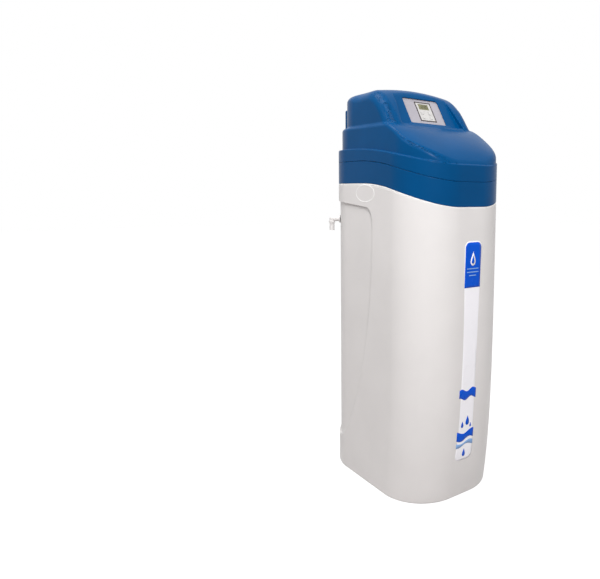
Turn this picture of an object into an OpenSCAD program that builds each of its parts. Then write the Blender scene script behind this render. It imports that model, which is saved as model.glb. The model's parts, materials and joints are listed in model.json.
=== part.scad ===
// Domestic water softener in one cabinet: resin tank, control valve, brine well and bypass.
// Millimetres. The front faces -Y and +Z is up. The origin is on the floor, under the cabinet's middle.

/* [Cabinet] */
// Width of the cabinet
cabinet_w = 334; // [320:1:380]
// Depth of the cabinet, front to rear
cabinet_d = 484; // [470:1:540]
// Plan radius of the cabinet's corners
corner_r = 130; // [115:1:140]
// Height of the cabinet's rim at the rear
cabinet_h = 857; // [760:1:920]
// Fall of the rim towards the front
rim_drop = 60; // [30:1:75]
// Length of the rim's level stretch, from the rear
rim_level = 222; // [160:1:260]
// Wall of the cabinet
cabinet_wall = 4.5; // [3:0.5:6]
// Floor of the cabinet
cabinet_floor = 6; // [4:0.5:10]
// How far the front tucks in at floor level
front_tuck = 26; // [5:1:40]

/* [Side recess] */
// Depth of the recess in the sides and rear
recess_depth = 5; // [2:0.5:7]
// Reach of the recess from the rear
recess_reach = 268; // [220:1:300]
// Plain band between the rim and the recess, at the rear
recess_below_rim = 44; // [35:1:70]
// Height of the plain base under the recess
recess_base = 88; // [60:1:130]

/* [Collar] */
// Height of the collar at the rear
collar_h = 61; // [45:1:80]
// Fall of the collar's top towards the front
seam_drop = 57; // [30:1:70]
// Length of the seam's level stretch, from the rear
seam_level = 192; // [150:1:240]
// Thickness of the collar
collar_wall = 9; // [8:0.5:12]
// Depth of the skirt inside the cabinet
skirt_h = 25; // [15:1:40]
// Thickness of the skirt
skirt_wall = 3.5; // [2:0.5:4]
// Height of the lip that locates the cover
lip_h = 12; // [8:1:20]
// Thickness of that lip
lip_wall = 3; // [2:0.5:4]

/* [Cover] */
// Wall of the cover
cover_wall = 3.5; // [2.5:0.5:4.5]
// Height of the cover's band at the rear
band_h = 36; // [28:1:45]
// Fall of the ledge towards the front
ledge_drop = 49; // [30:1:55]
// Length of the ledge's level stretch, from the rear
ledge_level = 132; // [100:1:200]
// Step in from the band to the upper wall, at the sides
ledge_w = 8; // [4:0.5:12]
// Step in from the band to the upper wall, at the rear
rear_step = 14; // [12:0.5:20]
// Height of the shoulder above the ledge
shoulder_h = 64; // [56:1:80]
// Length of the hump's foot, from the cabinet's rear face
hump_len = 322; // [304:1:330]
// Crown of the lid across its width
lid_crown = 25; // [15:1:35]
// Height of the hump above the shoulder
hump_h = 106; // [98:1:120]
// Step in from the cabinet's side to the hump's side
hump_step = 16; // [12:1:24]
// Step in from the cabinet's rear to the hump's rear
hump_rear_step = 30; // [26:1:40]
// Rounding of the hump's front corners
hump_corner_r = 40; // [25:1:55]
// Depth of the fascia's recess in the hump
fascia_depth = 9; // [4:0.5:10]
// Half width of the rear rib
rib_half_w = 104; // [80:1:115]
// Height of the rear rib above the shoulder
rib_h = 62; // [45:1:75]
// Radius of a cover plug's head
plug_r = 3.5; // [2.5:0.25:5]

/* [Rear notch] */
// Half width of the plumbing notch
notch_half_w = 104; // [92:1:112]
// Height of the notch below the seam
notch_below_seam = 13; // [10:1:20]

/* [Control panel] */
// Width of the window in the fascia
window_w = 126; // [110:1:136]
// Height of the window along the slope
window_h = 88; // [78:1:92]
// How far the panel lies behind the fascia's plane
panel_depth = 15; // [14:0.5:18]
// Margin of the panel behind the window's edge
panel_margin = 6; // [4:0.5:8]
// Thickness of the panel
panel_t = 3; // [2.5:0.5:4]
// Width of the display frame
display_w = 57; // [52:1:64]
// Height of the display frame
display_h = 66; // [62:1:70]
// Offset of the display from the panel's middle
display_x = 6; // [-10:1:10]
// Width of the frame's border
display_border = 2.5; // [2:0.5:4]
// Width of the screen
screen_w = 36; // [28:1:42]
// Height of the screen
screen_h = 19; // [14:1:21]
// Radius of a push button
button_r = 5; // [3.5:0.25:6]
// Travel of a push button
button_travel = 0.8; // [0.5:0.1:1.2]
// Depth of the controller's case
case_depth = 30; // [22:1:32]

/* [Resin tank] */
// Diameter of the resin tank
tank_d = 254; // [230:1:262]
// Gap from the cabinet's rear face to the tank
tank_rear_gap = 17; // [15:1:25]
// Wall of the tank
tank_wall = 4; // [3:0.5:6]
// Radius of the tank's neck
neck_r = 45; // [40:1:50]
// Radius of the neck's bore
neck_bore_r = 31; // [28:1:34]
// Height of the resin bed
resin_h = 470; // [350:5:560]
// Radius of the riser tube
riser_r = 13.4; // [12:0.1:15]
// Wall of the riser tube
riser_wall = 2.7; // [2:0.1:3.5]

/* [Valve] */
// Height of the ports above the seam
port_rise = 16; // [14:1:20]
// Height of the ports above the tank's neck
port_above_neck = 42; // [38:1:48]
// Half the distance between the two ports
port_x = 38; // [36:0.5:42]
// Radius of a port's tail
tail_r = 15; // [14:0.5:16]
// Radius of a tail's bore
tail_bore_r = 11; // [10.5:0.25:12]
// Radius of the piston's bore
bore_r = 17; // [16:0.25:19]
// Length of the piston
piston_l = 60; // [50:1:64]
// Radius of the piston's rod
rod_r = 5; // [4:0.25:6]

/* [Drive] */
// Teeth on the main gear
gear_teeth = 44; // [40:4:44]
// Teeth on the motor's pinion
pinion_teeth = 12; // [12:2:14]
// Module of the teeth
tooth_module = 1.5; // [1.4:0.05:1.55]
// Thickness of the main gear
gear_t = 8; // [6:0.5:10]
// Travel of the piston
piston_travel = 36; // [20:1:36]
// Radius of the motor
motor_r = 13; // [11:0.5:14]
// Length of the motor
motor_l = 42; // [30:1:50]

/* [Bypass] */
// Radius of a union nut
nut_r = 22.5; // [21:0.5:24]
// Radius of the bypass neck
bypass_neck_r = 11.5; // [10.5:0.25:12.5]
// Radius of a bypass end
bypass_end_r = 20; // [17:0.5:21]
// Radius of a pipe socket
socket_r = 13.2; // [11:0.1:15]
// Depth of a pipe socket
socket_l = 8; // [6:0.5:9]
// Radius of the bypass waterway
water_r = 7; // [6:0.25:7.5]
// Radius of a handle's spindle
spindle_r = 3; // [2.5:0.25:3.5]
// Length of a handle
handle_l = 34; // [24:1:38]
// Height of a handle
handle_h = 29; // [18:1:34]

/* [Brine system] */
// Radius of the brine well
well_r = 45; // [40:1:48]
// Wall of the brine well
well_wall = 3; // [2:0.5:4]
// Height of the brine well
well_h = 780; // [600:5:790]
// Radius of the float
float_r = 26; // [20:0.5:30]
// Height of the float
float_h = 80; // [50:1:110]
// Travel of the float
float_travel = 30; // [15:1:45]
// Radius of the float's rod
float_rod_r = 3; // [2:0.25:4]
// Radius of the brine tube
tube_r = 4.75; // [4:0.25:5.5]
// Radius of the brine tube's bend
tube_bend_r = 40; // [30:1:60]

/* [Overflow] */
// Depth of the overflow below the rim
overflow_below_rim = 106; // [90:1:140]
// Radius of the overflow elbow
elbow_r = 7.5; // [6:0.25:9]
// Reach of the elbow from the wall
elbow_reach = 29; // [24:1:36]
// Drop of the elbow's leg
elbow_drop = 35; // [28:1:50]

/* [Clearances] */
// Gap between pieces that are fitted together
fit_gap = 0.3; // [0.2:0.05:0.4]
// Radial gap of a turning fit
turn_gap = 0.08; // [0.05:0.01:0.1]

/* [Hidden] */
$fn = 64;

blue = "#1a5ca3";
white = "#ecebe9";
pale_grey = "#b9b7bb";
dark = "#202124";
black = "#2b2c2e";
red = "#a3262a";
steel = "#b8bcc0";
cream = "#e6dfc8";

// Levels and faces that the pieces share
far = 1000;
steps = 14;
y_rear = cabinet_d / 2;
y_front = -cabinet_d / 2;
z_seam = cabinet_h + collar_h;
z_ledge = z_seam + band_h;
z_shoulder = z_ledge + shoulder_h;
z_top = z_shoulder + hump_h;
z_port = z_seam + port_rise;
z_neck = z_port - port_above_neck;

// Heights of the rim, seam and ledge at a place along the depth: level at the rear, then a parabola
function fall(y, drop, level) = drop * pow(max(0, (y_rear - level - y) / (cabinet_d - level)), 2);
function rim_z(y) = cabinet_h - fall(y, rim_drop, rim_level);
function seam_z(y) = z_seam - fall(y, seam_drop, seam_level);
function ledge_z(y) = z_ledge - fall(y, ledge_drop, ledge_level);
function depth_stations() = [for (i = [0:steps]) y_front + cabinet_d * i / steps];
function rim_line(up) = [for (y = depth_stations()) [y, rim_z(y) + up]];
function seam_line(up) = [for (y = depth_stations()) [y, seam_z(y) + up]];
function ledge_line(up) = [for (y = depth_stations()) [y, ledge_z(y) + up]];
function back_to_front(line) = [for (i = [len(line) - 1:-1:0]) line[i]];
function after_first(line) = [for (i = [1:len(line) - 1]) line[i]];

// Cubic curve, its direction, and its points moved to the right of its direction
function curve(p, s) =
    pow(1 - s, 3) * p[0] + 3 * s * pow(1 - s, 2) * p[1] + 3 * s * s * (1 - s) * p[2] + pow(s, 3) * p[3];
function curve_dir(p, s) =
    let (d = pow(1 - s, 2) * (p[1] - p[0]) + 2 * s * (1 - s) * (p[2] - p[1]) + s * s * (p[3] - p[2]))
    d / norm(d);
function curve_line(p, n, inward = 0) =
    [for (i = [0:n]) let (s = i / n, d = curve_dir(p, s)) curve(p, s) + inward * [d[1], -d[0]]];

// Plan outline with its own front and rear insets and corner radii
module plan(side, front, rear, front_r, rear_r) {
    half = cabinet_w / 2 - side;
    y0 = y_front + front;
    y1 = y_rear - rear;
    translate([-half, y0 + front_r]) square([2 * half, y1 - y0 - front_r - rear_r]);
    translate([-half + front_r, y0]) square([2 * (half - front_r), front_r * 2]);
    translate([-half + rear_r, y1 - rear_r * 2]) square([2 * (half - rear_r), rear_r * 2]);
    for (s = [-1, 1]) {
        translate([s * (half - front_r), y0 + front_r]) circle(front_r);
        translate([s * (half - rear_r), y1 - rear_r]) circle(rear_r);
    }
}

// Upright prism of the cabinet's plan, moved in by an even inset
module plan_prism(inset) {
    translate([0, 0, -far / 2]) linear_extrude(far * 3)
        plan(inset, inset, inset, corner_r - inset, corner_r - inset);
}

// A side profile drawn in depth and height, run across the width
module across(points) {
    rotate([90, 0, 90]) linear_extrude(cabinet_w * 2, center = true) polygon(points);
}

// A ring of the plan between two insets, between two lines of equal stations
module plan_band(outer, inner, lower, upper) {
    intersection() {
        difference() {
            plan_prism(outer);
            plan_prism(inner);
        }
        across(concat(lower, back_to_front(upper)));
    }
}

// Centred block between two heights
module block(w, h, z0, z1) translate([-w / 2, -h / 2, z0]) cube([w, h, z1 - z0]);

// Straight rod along the depth or the width
module rod_y(r, y0, y1, x, z) translate([x, y0, z]) rotate([-90, 0, 0]) cylinder(r = r, h = y1 - y0);
module rod_x(r, x0, x1, y, z) translate([x0, y, z]) rotate([0, 90, 0]) cylinder(r = r, h = x1 - x0);

// Cabinet
recess_y = y_rear - recess_reach;
recess_top_z = cabinet_h - recess_below_rim;
recess_over = 10;
recess_corner = [
    [recess_y + 36, recess_top_z - 20], [recess_y + 6, recess_top_z - 24],
    [recess_y - 1, recess_top_z - 48], [recess_y, recess_top_z - 93]
];
recess_foot = [recess_y + 146, recess_base + 24];
recess_run = recess_top_z - 93 - recess_foot[1];
recess_edge = [
    recess_corner[3], [recess_y, recess_foot[1] + 0.67 * recess_run],
    [recess_y + 46, recess_foot[1] + 0.21 * recess_run], recess_foot
];
recess_end = [y_rear + recess_over, recess_base + 16];
recess_bottom = [
    recess_foot, [recess_foot[0] + 30, recess_base - 12],
    [recess_foot[0] + 65, recess_base], recess_end
];
// The edge runs front-down, so material lies to its left and a grown outline moves to the right
function recess_outline(grow) = concat(
    [[y_rear + recess_over, recess_top_z + grow]],
    curve_line(recess_corner, 6, grow),
    after_first(curve_line(recess_edge, 12, grow)),
    after_first(curve_line(recess_bottom, 8, grow))
);

// Front face: upright above, tucked in towards the floor, from rounded prisms tilted along a curve
tuck_power = 4.5;
tuck_touch = [0.04, 0.14, 0.25, 0.39];
rim_front_z = rim_z(y_front);
function tuck_share(z) = (rim_front_z - z) / rim_front_z;
function front_y(z) = y_front + front_tuck * pow(tuck_share(z), tuck_power);
function tuck_angle(z) = atan(front_tuck * tuck_power / rim_front_z * pow(tuck_share(z), tuck_power - 1));

// Half-open outline with rounded front corners, its front edge on the width axis
module front_rounded(half, r) {
    translate([-half, r]) square([2 * half, far]);
    translate([-half + r, 0]) square([2 * (half - r), r * 2]);
    for (s = [-1, 1]) translate([s * (half - r), r]) circle(r);
}

module tucked_prism(inset) {
    over = 0.05;
    intersection() {
        plan_prism(inset);
        intersection_for (share = tuck_touch) {
            z = share * rim_front_z;
            translate([0, front_y(z) + inset, z]) rotate([tuck_angle(z), 0, 0])
                translate([0, 0, -far]) linear_extrude(far * 2.5)
                    front_rounded(cabinet_w / 2 - inset + over, corner_r - inset + over);
        }
    }
}

module cabinet_form(inset) {
    difference() {
        tucked_prism(inset);
        difference() {
            across(recess_outline(inset));
            plan_prism(recess_depth + inset);
        }
    }
}

overflow_angle = 138;
overflow_z = cabinet_h - overflow_below_rim;
module on_overflow() {
    translate([-(cabinet_w / 2 - corner_r), y_rear - corner_r, overflow_z])
        rotate([0, 0, overflow_angle]) rotate([0, 90, 0]) children();
}
wall_out = corner_r - recess_depth;
wall_in = wall_out - cabinet_wall;

module cabinet_shell() {
    front_edge = [[y_front - 1, 0], [y_front - 1, rim_front_z]];
    rear_edge = [[y_rear + 1, cabinet_h], [y_rear + 1, 0]];
    color(white) difference() {
        intersection() {
            cabinet_form(0);
            across(concat(front_edge, rim_line(0), rear_edge));
        }
        intersection() {
            cabinet_form(cabinet_wall);
            translate([-cabinet_w, -cabinet_d, cabinet_floor]) cube([2 * cabinet_w, 2 * cabinet_d, far]);
        }
        on_overflow() cylinder(r = elbow_r + fit_gap, h = corner_r * 2);
    }
}

// Collar
skirt_out = cabinet_wall + fit_gap;
module notch(z0, z1) {
    translate([-notch_half_w, y_rear - corner_r / 2, z0]) cube([2 * notch_half_w, corner_r, z1 - z0]);
}

module top_collar() {
    color(blue) difference() {
        union() {
            plan_band(0, collar_wall, rim_line(0), seam_line(0));
            plan_band(skirt_out, skirt_out + skirt_wall, rim_line(-skirt_h), rim_line(collar_h / 2));
            plan_band(
                cover_wall + fit_gap, cover_wall + fit_gap + lip_wall,
                seam_line(-collar_h / 2), seam_line(lip_h)
            );
        }
        notch(z_seam - notch_below_seam, z_shoulder);
    }
}

// Cover: side profiles of the sloping lid and the hump, which run from the front over the top
hump_y = y_rear - hump_len;
hump_rear_y = y_rear - hump_rear_step;
hump_half = cabinet_w / 2 - hump_step;
lid_set = 1;
lid_foot = [y_front + lid_set, ledge_z(y_front)];
lid_head = [hump_y + 4, z_shoulder - 3];
lid_rise = lid_head - lid_foot;
lid_curve = [
    lid_foot, lid_foot + [lid_rise[0] * 0.21, lid_rise[1] * 0.455],
    lid_foot + [lid_rise[0] * 0.62, lid_rise[1] * 0.86], lid_head
];
hump_front = [
    [hump_y, z_shoulder - 10], [hump_y + 21, z_shoulder + 0.4 * hump_h],
    [hump_y + 48, z_top - 2], [hump_y + 121, z_top]
];
hump_back = [
    [hump_rear_y - 24, z_top - 6], [hump_rear_y - 6, z_top - 7],
    [hump_rear_y, z_top - 16], [hump_rear_y, z_top - 36]
];
hump_side = [
    [-hump_half, z_shoulder - 10], [4 - hump_half, z_top - 29], [19 - hump_half, z_top - 2], [0, z_top]
];
hump_sink = 30;

// Crown of the lid: a wide cylinder along the lid's slope, clear of the lid's bulge on the centre line
lid_angle = atan2(lid_rise[1], lid_rise[0]);
lid_bulge = 19;
crown_half = cabinet_w / 2 - ledge_w;
crown_r = (crown_half * crown_half + lid_crown * lid_crown) / (2 * lid_crown);
module lid_crown_cut(inward) {
    translate([0, lid_foot[0], lid_foot[1]]) rotate([lid_angle - 90, 0, 0])
        translate([0, crown_r - lid_bulge, -far]) cylinder(r = crown_r - inward, h = far * 2, $fn = 256);
}

module band_solid(inward) {
    intersection() {
        plan_prism(inward);
        across(concat(seam_line(inward > 0 ? -1 : fit_gap), back_to_front(ledge_line(-inward))));
    }
}

module upper_solid(inward) {
    r = corner_r - ledge_w - inward;
    intersection() {
        linear_extrude(far * 2)
            plan(ledge_w + inward, lid_set + inward, rear_step + inward, r, r);
        across(concat(
            curve_line(lid_curve, steps, inward),
            [[y_rear, z_shoulder - inward]],
            back_to_front(ledge_line(-1 - inward))
        ));
        lid_crown_cut(inward);
    }
}

// Fascia plane: tangent to the hump's front at the window
fascia_at = 0.375;
fascia_p = curve(hump_front, fascia_at);
fascia_dir = curve_dir(hump_front, fascia_at);
fascia_tilt = atan2(fascia_dir[1], fascia_dir[0]);
module on_fascia() translate([0, fascia_p[0], fascia_p[1]]) rotate([fascia_tilt, 0, 0]) children();

module hump_solid(inward) {
    rear_r = corner_r - hump_step - inward;
    half_line = curve_line(hump_side, steps, inward);
    intersection() {
        linear_extrude(far * 2)
            plan(hump_step + inward, 0, hump_rear_step + inward, corner_r - hump_step, rear_r);
        across(concat(
            curve_line(hump_front, steps, inward), curve_line(hump_back, 6, inward),
            [[hump_rear_y - inward, z_shoulder - hump_sink], [hump_y + inward, z_shoulder - hump_sink]]
        ));
        rotate([90, 0, 0]) linear_extrude(cabinet_d * 2, center = true) polygon(concat(
            [[-hump_half + inward, z_shoulder - hump_sink]], half_line,
            [for (i = [len(half_line) - 2:-1:0]) [-half_line[i][0], half_line[i][1]]],
            [[hump_half - inward, z_shoulder - hump_sink]]
        ));
        translate([0, fascia_p[0], fascia_p[1]]) rotate([fascia_tilt - 90, 0, 0])
            translate([0, inward, -far / 2]) linear_extrude(far)
                front_rounded(hump_half - inward, hump_corner_r - inward);
    }
}

fascia_top_half = 88;
fascia_base_half = 112;
fascia_rise = 70;
fascia_fall = 58;
module fascia_cut(depth) {
    on_fascia() translate([0, 0, -depth]) linear_extrude(hump_h) polygon([
        [-fascia_base_half, -fascia_fall], [fascia_base_half, -fascia_fall],
        [fascia_top_half, fascia_rise], [-fascia_top_half, fascia_rise]
    ]);
}

rib_rear_step = rear_step + 2;
module rib_solid(inward) {
    r = corner_r - rib_rear_step - inward;
    intersection() {
        linear_extrude(far * 2) plan(ledge_w + 2 + inward, 0, rib_rear_step + inward, r, r);
        translate([-rib_half_w + inward, hump_rear_y - corner_r / 2, z_shoulder - hump_sink])
            cube([2 * (rib_half_w - inward), corner_r, hump_sink + rib_h - inward]);
    }
}

window_shift = -2;
notch_above_nut = 4;
plug_angle = 42;
plug_below_ledge = 20;
plug_z = z_ledge - plug_below_ledge;
module on_plug(s) {
    translate([s * (cabinet_w / 2 - corner_r), y_rear - corner_r, plug_z])
        rotate([0, 0, 90 - s * (90 - plug_angle)]) rotate([0, 90, 0]) children();
}
plug_shank_r = plug_r * 0.55;

module cover_shell() {
    color(blue) difference() {
        union() {
            band_solid(0);
            upper_solid(0);
            difference() {
                hump_solid(0);
                fascia_cut(fascia_depth);
            }
            rib_solid(0);
        }
        union() {
            band_solid(cover_wall);
            upper_solid(cover_wall);
            difference() {
                hump_solid(cover_wall);
                fascia_cut(fascia_depth + cover_wall);
            }
            rib_solid(cover_wall);
        }
        notch(0, z_port + nut_r + notch_above_nut);
        on_fascia() translate([0, window_shift, 0]) block(window_w, window_h, -hump_h / 4, hump_h);
        for (s = [-1, 1]) on_plug(s) cylinder(r = plug_shank_r + fit_gap, h = corner_r * 2);
    }
}

module cover_plugs() {
    head_t = 1.6;
    color(white) for (s = [-1, 1]) on_plug(s) {
        translate([0, 0, corner_r - cover_wall]) cylinder(r = plug_shank_r, h = cover_wall + head_t);
        translate([0, 0, corner_r]) cylinder(r = plug_r, h = head_t);
    }
}

// Control panel, drawn with its front face at height 0 and the screen's up along +Y
panel_w = window_w + 2 * (panel_depth - cover_wall);
panel_h = window_h + 2 * panel_margin;
module on_panel() on_fascia() translate([0, window_shift, -panel_depth]) children();
display_up = 3;
module on_display() on_panel() translate([display_x, display_up, 0]) children();

module control_panel() {
    color(pale_grey) difference() {
        on_panel() block(panel_w, panel_h, -panel_t, 0);
        on_display() block(display_w + 2 * fit_gap, display_h + 2 * fit_gap, -panel_t - 1, 1);
    }
}

frame_proud = 0.8;
keypad_w = display_w - 2 * display_border;
keypad_h = display_h - 2 * display_border;
module display_frame() {
    color(dark) on_display() difference() {
        block(display_w, display_h, -panel_t, frame_proud);
        block(keypad_w, keypad_h, -panel_t - 1, frame_proud + 1);
    }
}

screen_from_top = 4;
screen_sunk = 0.6;
screen_y = keypad_h / 2 - screen_h / 2 - screen_from_top;
button_pitch_x = 26;
button_pitch_y = 16;
button_from_foot = 5;
button_proud = 1;
button_y = -keypad_h / 2 + button_r + button_from_foot;
function button_at(i) = [(i % 2 - 0.5) * button_pitch_x, button_y + floor(i / 2) * button_pitch_y];

module keypad() {
    color("#cfcfd2") on_display() difference() {
        block(keypad_w - fit_gap, keypad_h - fit_gap, -panel_t, 0);
        translate([0, screen_y, 0]) block(screen_w, screen_h, -panel_t - 1, 1);
        for (i = [0:3]) translate(button_at(i)) translate([0, 0, -panel_t - 1])
            cylinder(r = button_r + fit_gap, h = panel_t + 2);
    }
}

module screen() {
    color("#6b6a45") on_display() translate([0, screen_y, 0])
        block(screen_w - fit_gap, screen_h - fit_gap, -panel_t, -screen_sunk);
}

button_rim = 1.5;
button_rim_t = 1.2;
button_back = -panel_t - fit_gap - button_rim_t;
module push_button(i) {
    color("#9a9aa0") on_display() translate(button_at(i)) {
        translate([0, 0, button_back]) cylinder(r = button_r, h = button_proud - button_back);
        translate([0, 0, button_back]) cylinder(r = button_r + button_rim, h = button_rim_t);
    }
}
module button_1() push_button(0);
module button_2() push_button(1);
module button_3() push_button(2);
module button_4() push_button(3);

board_t = 1.6;
board_front = button_back - button_travel - fit_gap;
case_set = 2;
case_w = panel_w - 2 * case_set;
case_h = panel_h - 2 * case_set;
case_wall = 2.5;
post_r = 4;
post_in = 5 * case_wall;
module circuit_board() {
    color("#2f6b45") on_panel()
        block(case_w - 4 * case_wall, case_h - 4 * case_wall, board_front - board_t, board_front);
}

module controller_case() {
    color(black) on_panel() {
        difference() {
            block(case_w, case_h, -panel_t - case_depth, -panel_t);
            block(case_w - 2 * case_wall, case_h - 2 * case_wall, case_wall - panel_t - case_depth, 1);
        }
        for (x = [-1, 1], y = [-1, 1])
            translate([x * (case_w / 2 - post_in), y * (case_h / 2 - post_in), -panel_t - case_depth])
                cylinder(r = post_r, h = board_front - board_t + panel_t + case_depth);
    }
}

// Resin tank
tank_r = tank_d / 2;
tank_y = y_rear - tank_rear_gap - tank_r;
boot_wall = 3;
boot_lift = 8;
tank_z = cabinet_floor + boot_lift;
dome_low = 66;
dome_high = 80;
neck_h = 22;
neck_turn = acos(neck_r / tank_r);
tank_shoulder_z = z_neck - neck_h - dome_high * sin(neck_turn);
function low_dome(inward, n) =
    [for (i = [0:n]) let (a = 90 * i / n) [
        (tank_r - inward) * sin(a), tank_z + dome_low - (dome_low - inward) * cos(a)
    ]];
function high_dome(inward, top, n) =
    let (turn = acos(top / (tank_r - inward)))
    [for (i = [0:n]) let (a = turn * i / n) [
        (tank_r - inward) * cos(a), tank_shoulder_z + (dome_high - inward) * sin(a)
    ]];
module on_tank() translate([0, tank_y, 0]) children();

module resin_tank() {
    color("#3c6d9e") on_tank() difference() {
        rotate_extrude($fn = 128) polygon(concat(
            low_dome(0, 8), high_dome(0, neck_r, 8), [[neck_r, z_neck], [0, z_neck]]
        ));
        rotate_extrude($fn = 128) polygon(concat(
            low_dome(tank_wall, 8), high_dome(tank_wall, neck_bore_r, 8),
            [[neck_bore_r, z_neck + 1], [0, z_neck + 1]]
        ));
    }
}

module tank_boot() {
    seat = [for (p = low_dome(0, 8)) if (p[0] > tank_r / 2) p + [fit_gap, 0]];
    color(black) on_tank() rotate_extrude($fn = 128) polygon(concat(
        seat,
        [
            [tank_r + boot_wall, tank_z + dome_low],
            [tank_r + boot_wall, cabinet_floor], [seat[0][0], cabinet_floor]
        ]
    ));
}

module resin_bed() {
    color("#b8863b") on_tank() translate([0, 0, tank_z + dome_low]) difference() {
        cylinder(r = tank_r - tank_wall - fit_gap, h = resin_h);
        translate([0, 0, -1]) cylinder(r = riser_r + fit_gap, h = resin_h + 2);
    }
}

strainer_r = 24;
strainer_h = 46;
upper_strainer_h = 22;
strainer_lift = 2;
strainer_floor = 12;
strainer_z = tank_z + tank_wall + strainer_lift;
spigot_l = 16;
spigot_z = z_neck - spigot_l;
riser_z = strainer_z + strainer_floor;
riser_rise = 8;
riser_top_z = z_neck + riser_rise;
module riser_tube() {
    color(white) on_tank() translate([0, 0, riser_z]) difference() {
        cylinder(r = riser_r, h = riser_top_z - riser_z);
        translate([0, 0, -1]) cylinder(r = riser_r - riser_wall, h = riser_top_z - riser_z + 2);
    }
}

module strainer(z, h, floor_t) {
    slots = 12;
    slot_w = 1.5;
    on_tank() translate([0, 0, z]) difference() {
        cylinder(r = strainer_r, h = h);
        translate([0, 0, floor_t]) cylinder(r = riser_r + fit_gap, h = h - floor_t + 1);
        for (i = [0:slots - 1]) rotate([0, 0, i * 360 / slots])
            translate([riser_r + 2, -slot_w / 2, h * 0.25]) cube([strainer_r, slot_w, h * 0.5]);
    }
}
module lower_strainer() color(black) strainer(strainer_z, strainer_h, strainer_floor);
module upper_strainer() color(black) strainer(spigot_z - upper_strainer_h, upper_strainer_h, -1);

// Valve: a piston bore along the depth, with two tails towards the rear
bore_rise = 10;
boss_reach = 68;
boss_wall = 6;
block_reach = 54;
wide_set = 12;
block_rear = 60;
bore_rear = 48;
bore_wall = 8;
block_below_port = 22;
block_above_bore = 24;
wide_above_port = 38;
tail_set = 10;
tail_bore_l = 70;
base_r = 52;
base_lap = 4;
z_bore = z_port + bore_rise;
y_boss = tank_y - boss_reach;
y_block = tank_y - block_reach;
y_wide = tank_y + wide_set;
y_block_end = tank_y + block_rear;
y_bore_end = tank_y + bore_rear;
block_half = bore_r + bore_wall;
wide_half = port_x + tail_r + 1;
block_z0 = z_port - block_below_port;
block_z1 = z_bore + block_above_bore;
wide_z1 = z_port + wide_above_port;
y_tail = y_rear - tail_set;
module valve_body() {
    color(black) difference() {
        union() {
            on_tank() translate([0, 0, z_neck]) cylinder(r = base_r, h = block_z0 - z_neck + base_lap);
            on_tank() translate([0, 0, spigot_z]) cylinder(r = neck_bore_r - fit_gap, h = spigot_l + 1);
            translate([-block_half, y_block, block_z0])
                cube([2 * block_half, y_wide - y_block + 1, block_z1 - block_z0]);
            translate([-wide_half, y_wide, block_z0])
                cube([2 * wide_half, y_block_end - y_wide, wide_z1 - block_z0]);
            rod_y(bore_r + boss_wall, y_boss, y_block + 1, 0, z_bore);
            for (s = [-1, 1]) rod_y(tail_r, y_block_end - 1, y_tail, s * port_x, z_port);
        }
        rod_y(bore_r, y_boss - 1, y_bore_end, 0, z_bore);
        for (s = [-1, 1]) rod_y(tail_bore_r, y_tail - tail_bore_l, y_tail + 1, s * port_x, z_port);
        on_tank() translate([0, 0, spigot_z - 1])
            cylinder(r = riser_r + fit_gap, h = riser_top_z - spigot_z + 1);
    }
}

plug_t = 12;
plug_set = 1;
y_plug = y_boss + plug_set;
module bore_plug() {
    color(pale_grey) difference() {
        rod_y(bore_r - turn_gap, y_plug, y_plug + plug_t, 0, z_bore);
        rod_y(rod_r + fit_gap, y_plug - 1, y_plug + plug_t + 1, 0, z_bore);
    }
}

seal_t = 1.8;
seal_w = 4;
seal_first = 20;
seal_last = 6;
piston_end_gap = 6;
y_piston = y_bore_end - piston_end_gap - piston_l;
module bore_seals() {
    seal_run = piston_l + piston_travel - seal_first - seal_last;
    color("#1b1b1b") for (i = [0:3]) {
        y = y_piston - piston_travel + seal_first + i * seal_run / 3;
        difference() {
            rod_y(bore_r - turn_gap, y - seal_w, y, 0, z_bore);
            rod_y(bore_r - seal_t, y - seal_w - 1, y + 1, 0, z_bore);
        }
    }
}

rod_front = 78;
module piston() {
    groove_y = 12;
    groove_w = 14;
    groove_pitch = 22;
    groove_depth = 4;
    land_r = bore_r - seal_t - turn_gap;
    color(cream) difference() {
        union() {
            rod_y(land_r, y_piston, y_piston + piston_l, 0, z_bore);
            rod_y(rod_r, y_piston - rod_front, y_piston + 1, 0, z_bore);
        }
        for (i = [0:1]) {
            y = y_piston + groove_y + i * groove_pitch;
            difference() {
                rod_y(land_r + 1, y, y + groove_w, 0, z_bore);
                rod_y(land_r - groove_depth, y - 1, y + groove_w + 1, 0, z_bore);
            }
        }
    }
}

// Drive: the main gear is a nut on the piston's rod, turned by the motor's pinion
gear_pitch_r = gear_teeth * tooth_module / 2;
pinion_pitch_r = pinion_teeth * tooth_module / 2;
motor_x = gear_pitch_r + pinion_pitch_r;
housing_wall = 2.5;
back_wall = 4;
rod_end_gap = 6;
gear_back_gap = 10;
gear_side_gap = 4;
pinion_side_gap = 8;
y_back = y_boss;
y_cover = y_piston - rod_front - piston_travel - rod_end_gap;
gear_y = y_back - back_wall - gear_back_gap - gear_t;
gear_hub_r = 9;
hub_end_gap = 0.5;
housing_x0 = -(gear_pitch_r + tooth_module + housing_wall + gear_side_gap);
housing_x1 = motor_x + pinion_pitch_r + tooth_module + housing_wall + pinion_side_gap;
housing_z0 = z_bore + housing_x0;
housing_z1 = z_bore - housing_x0;
screw_r = 2;
screw_post_r = 5;
screw_l = 12;
drive_cover_t = 3;
screw_at = [
    for (x = [housing_x0 + screw_post_r, housing_x1 - screw_post_r])
        for (z = [housing_z0 + screw_post_r, housing_z1 - screw_post_r]) [x, z]
];

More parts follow.
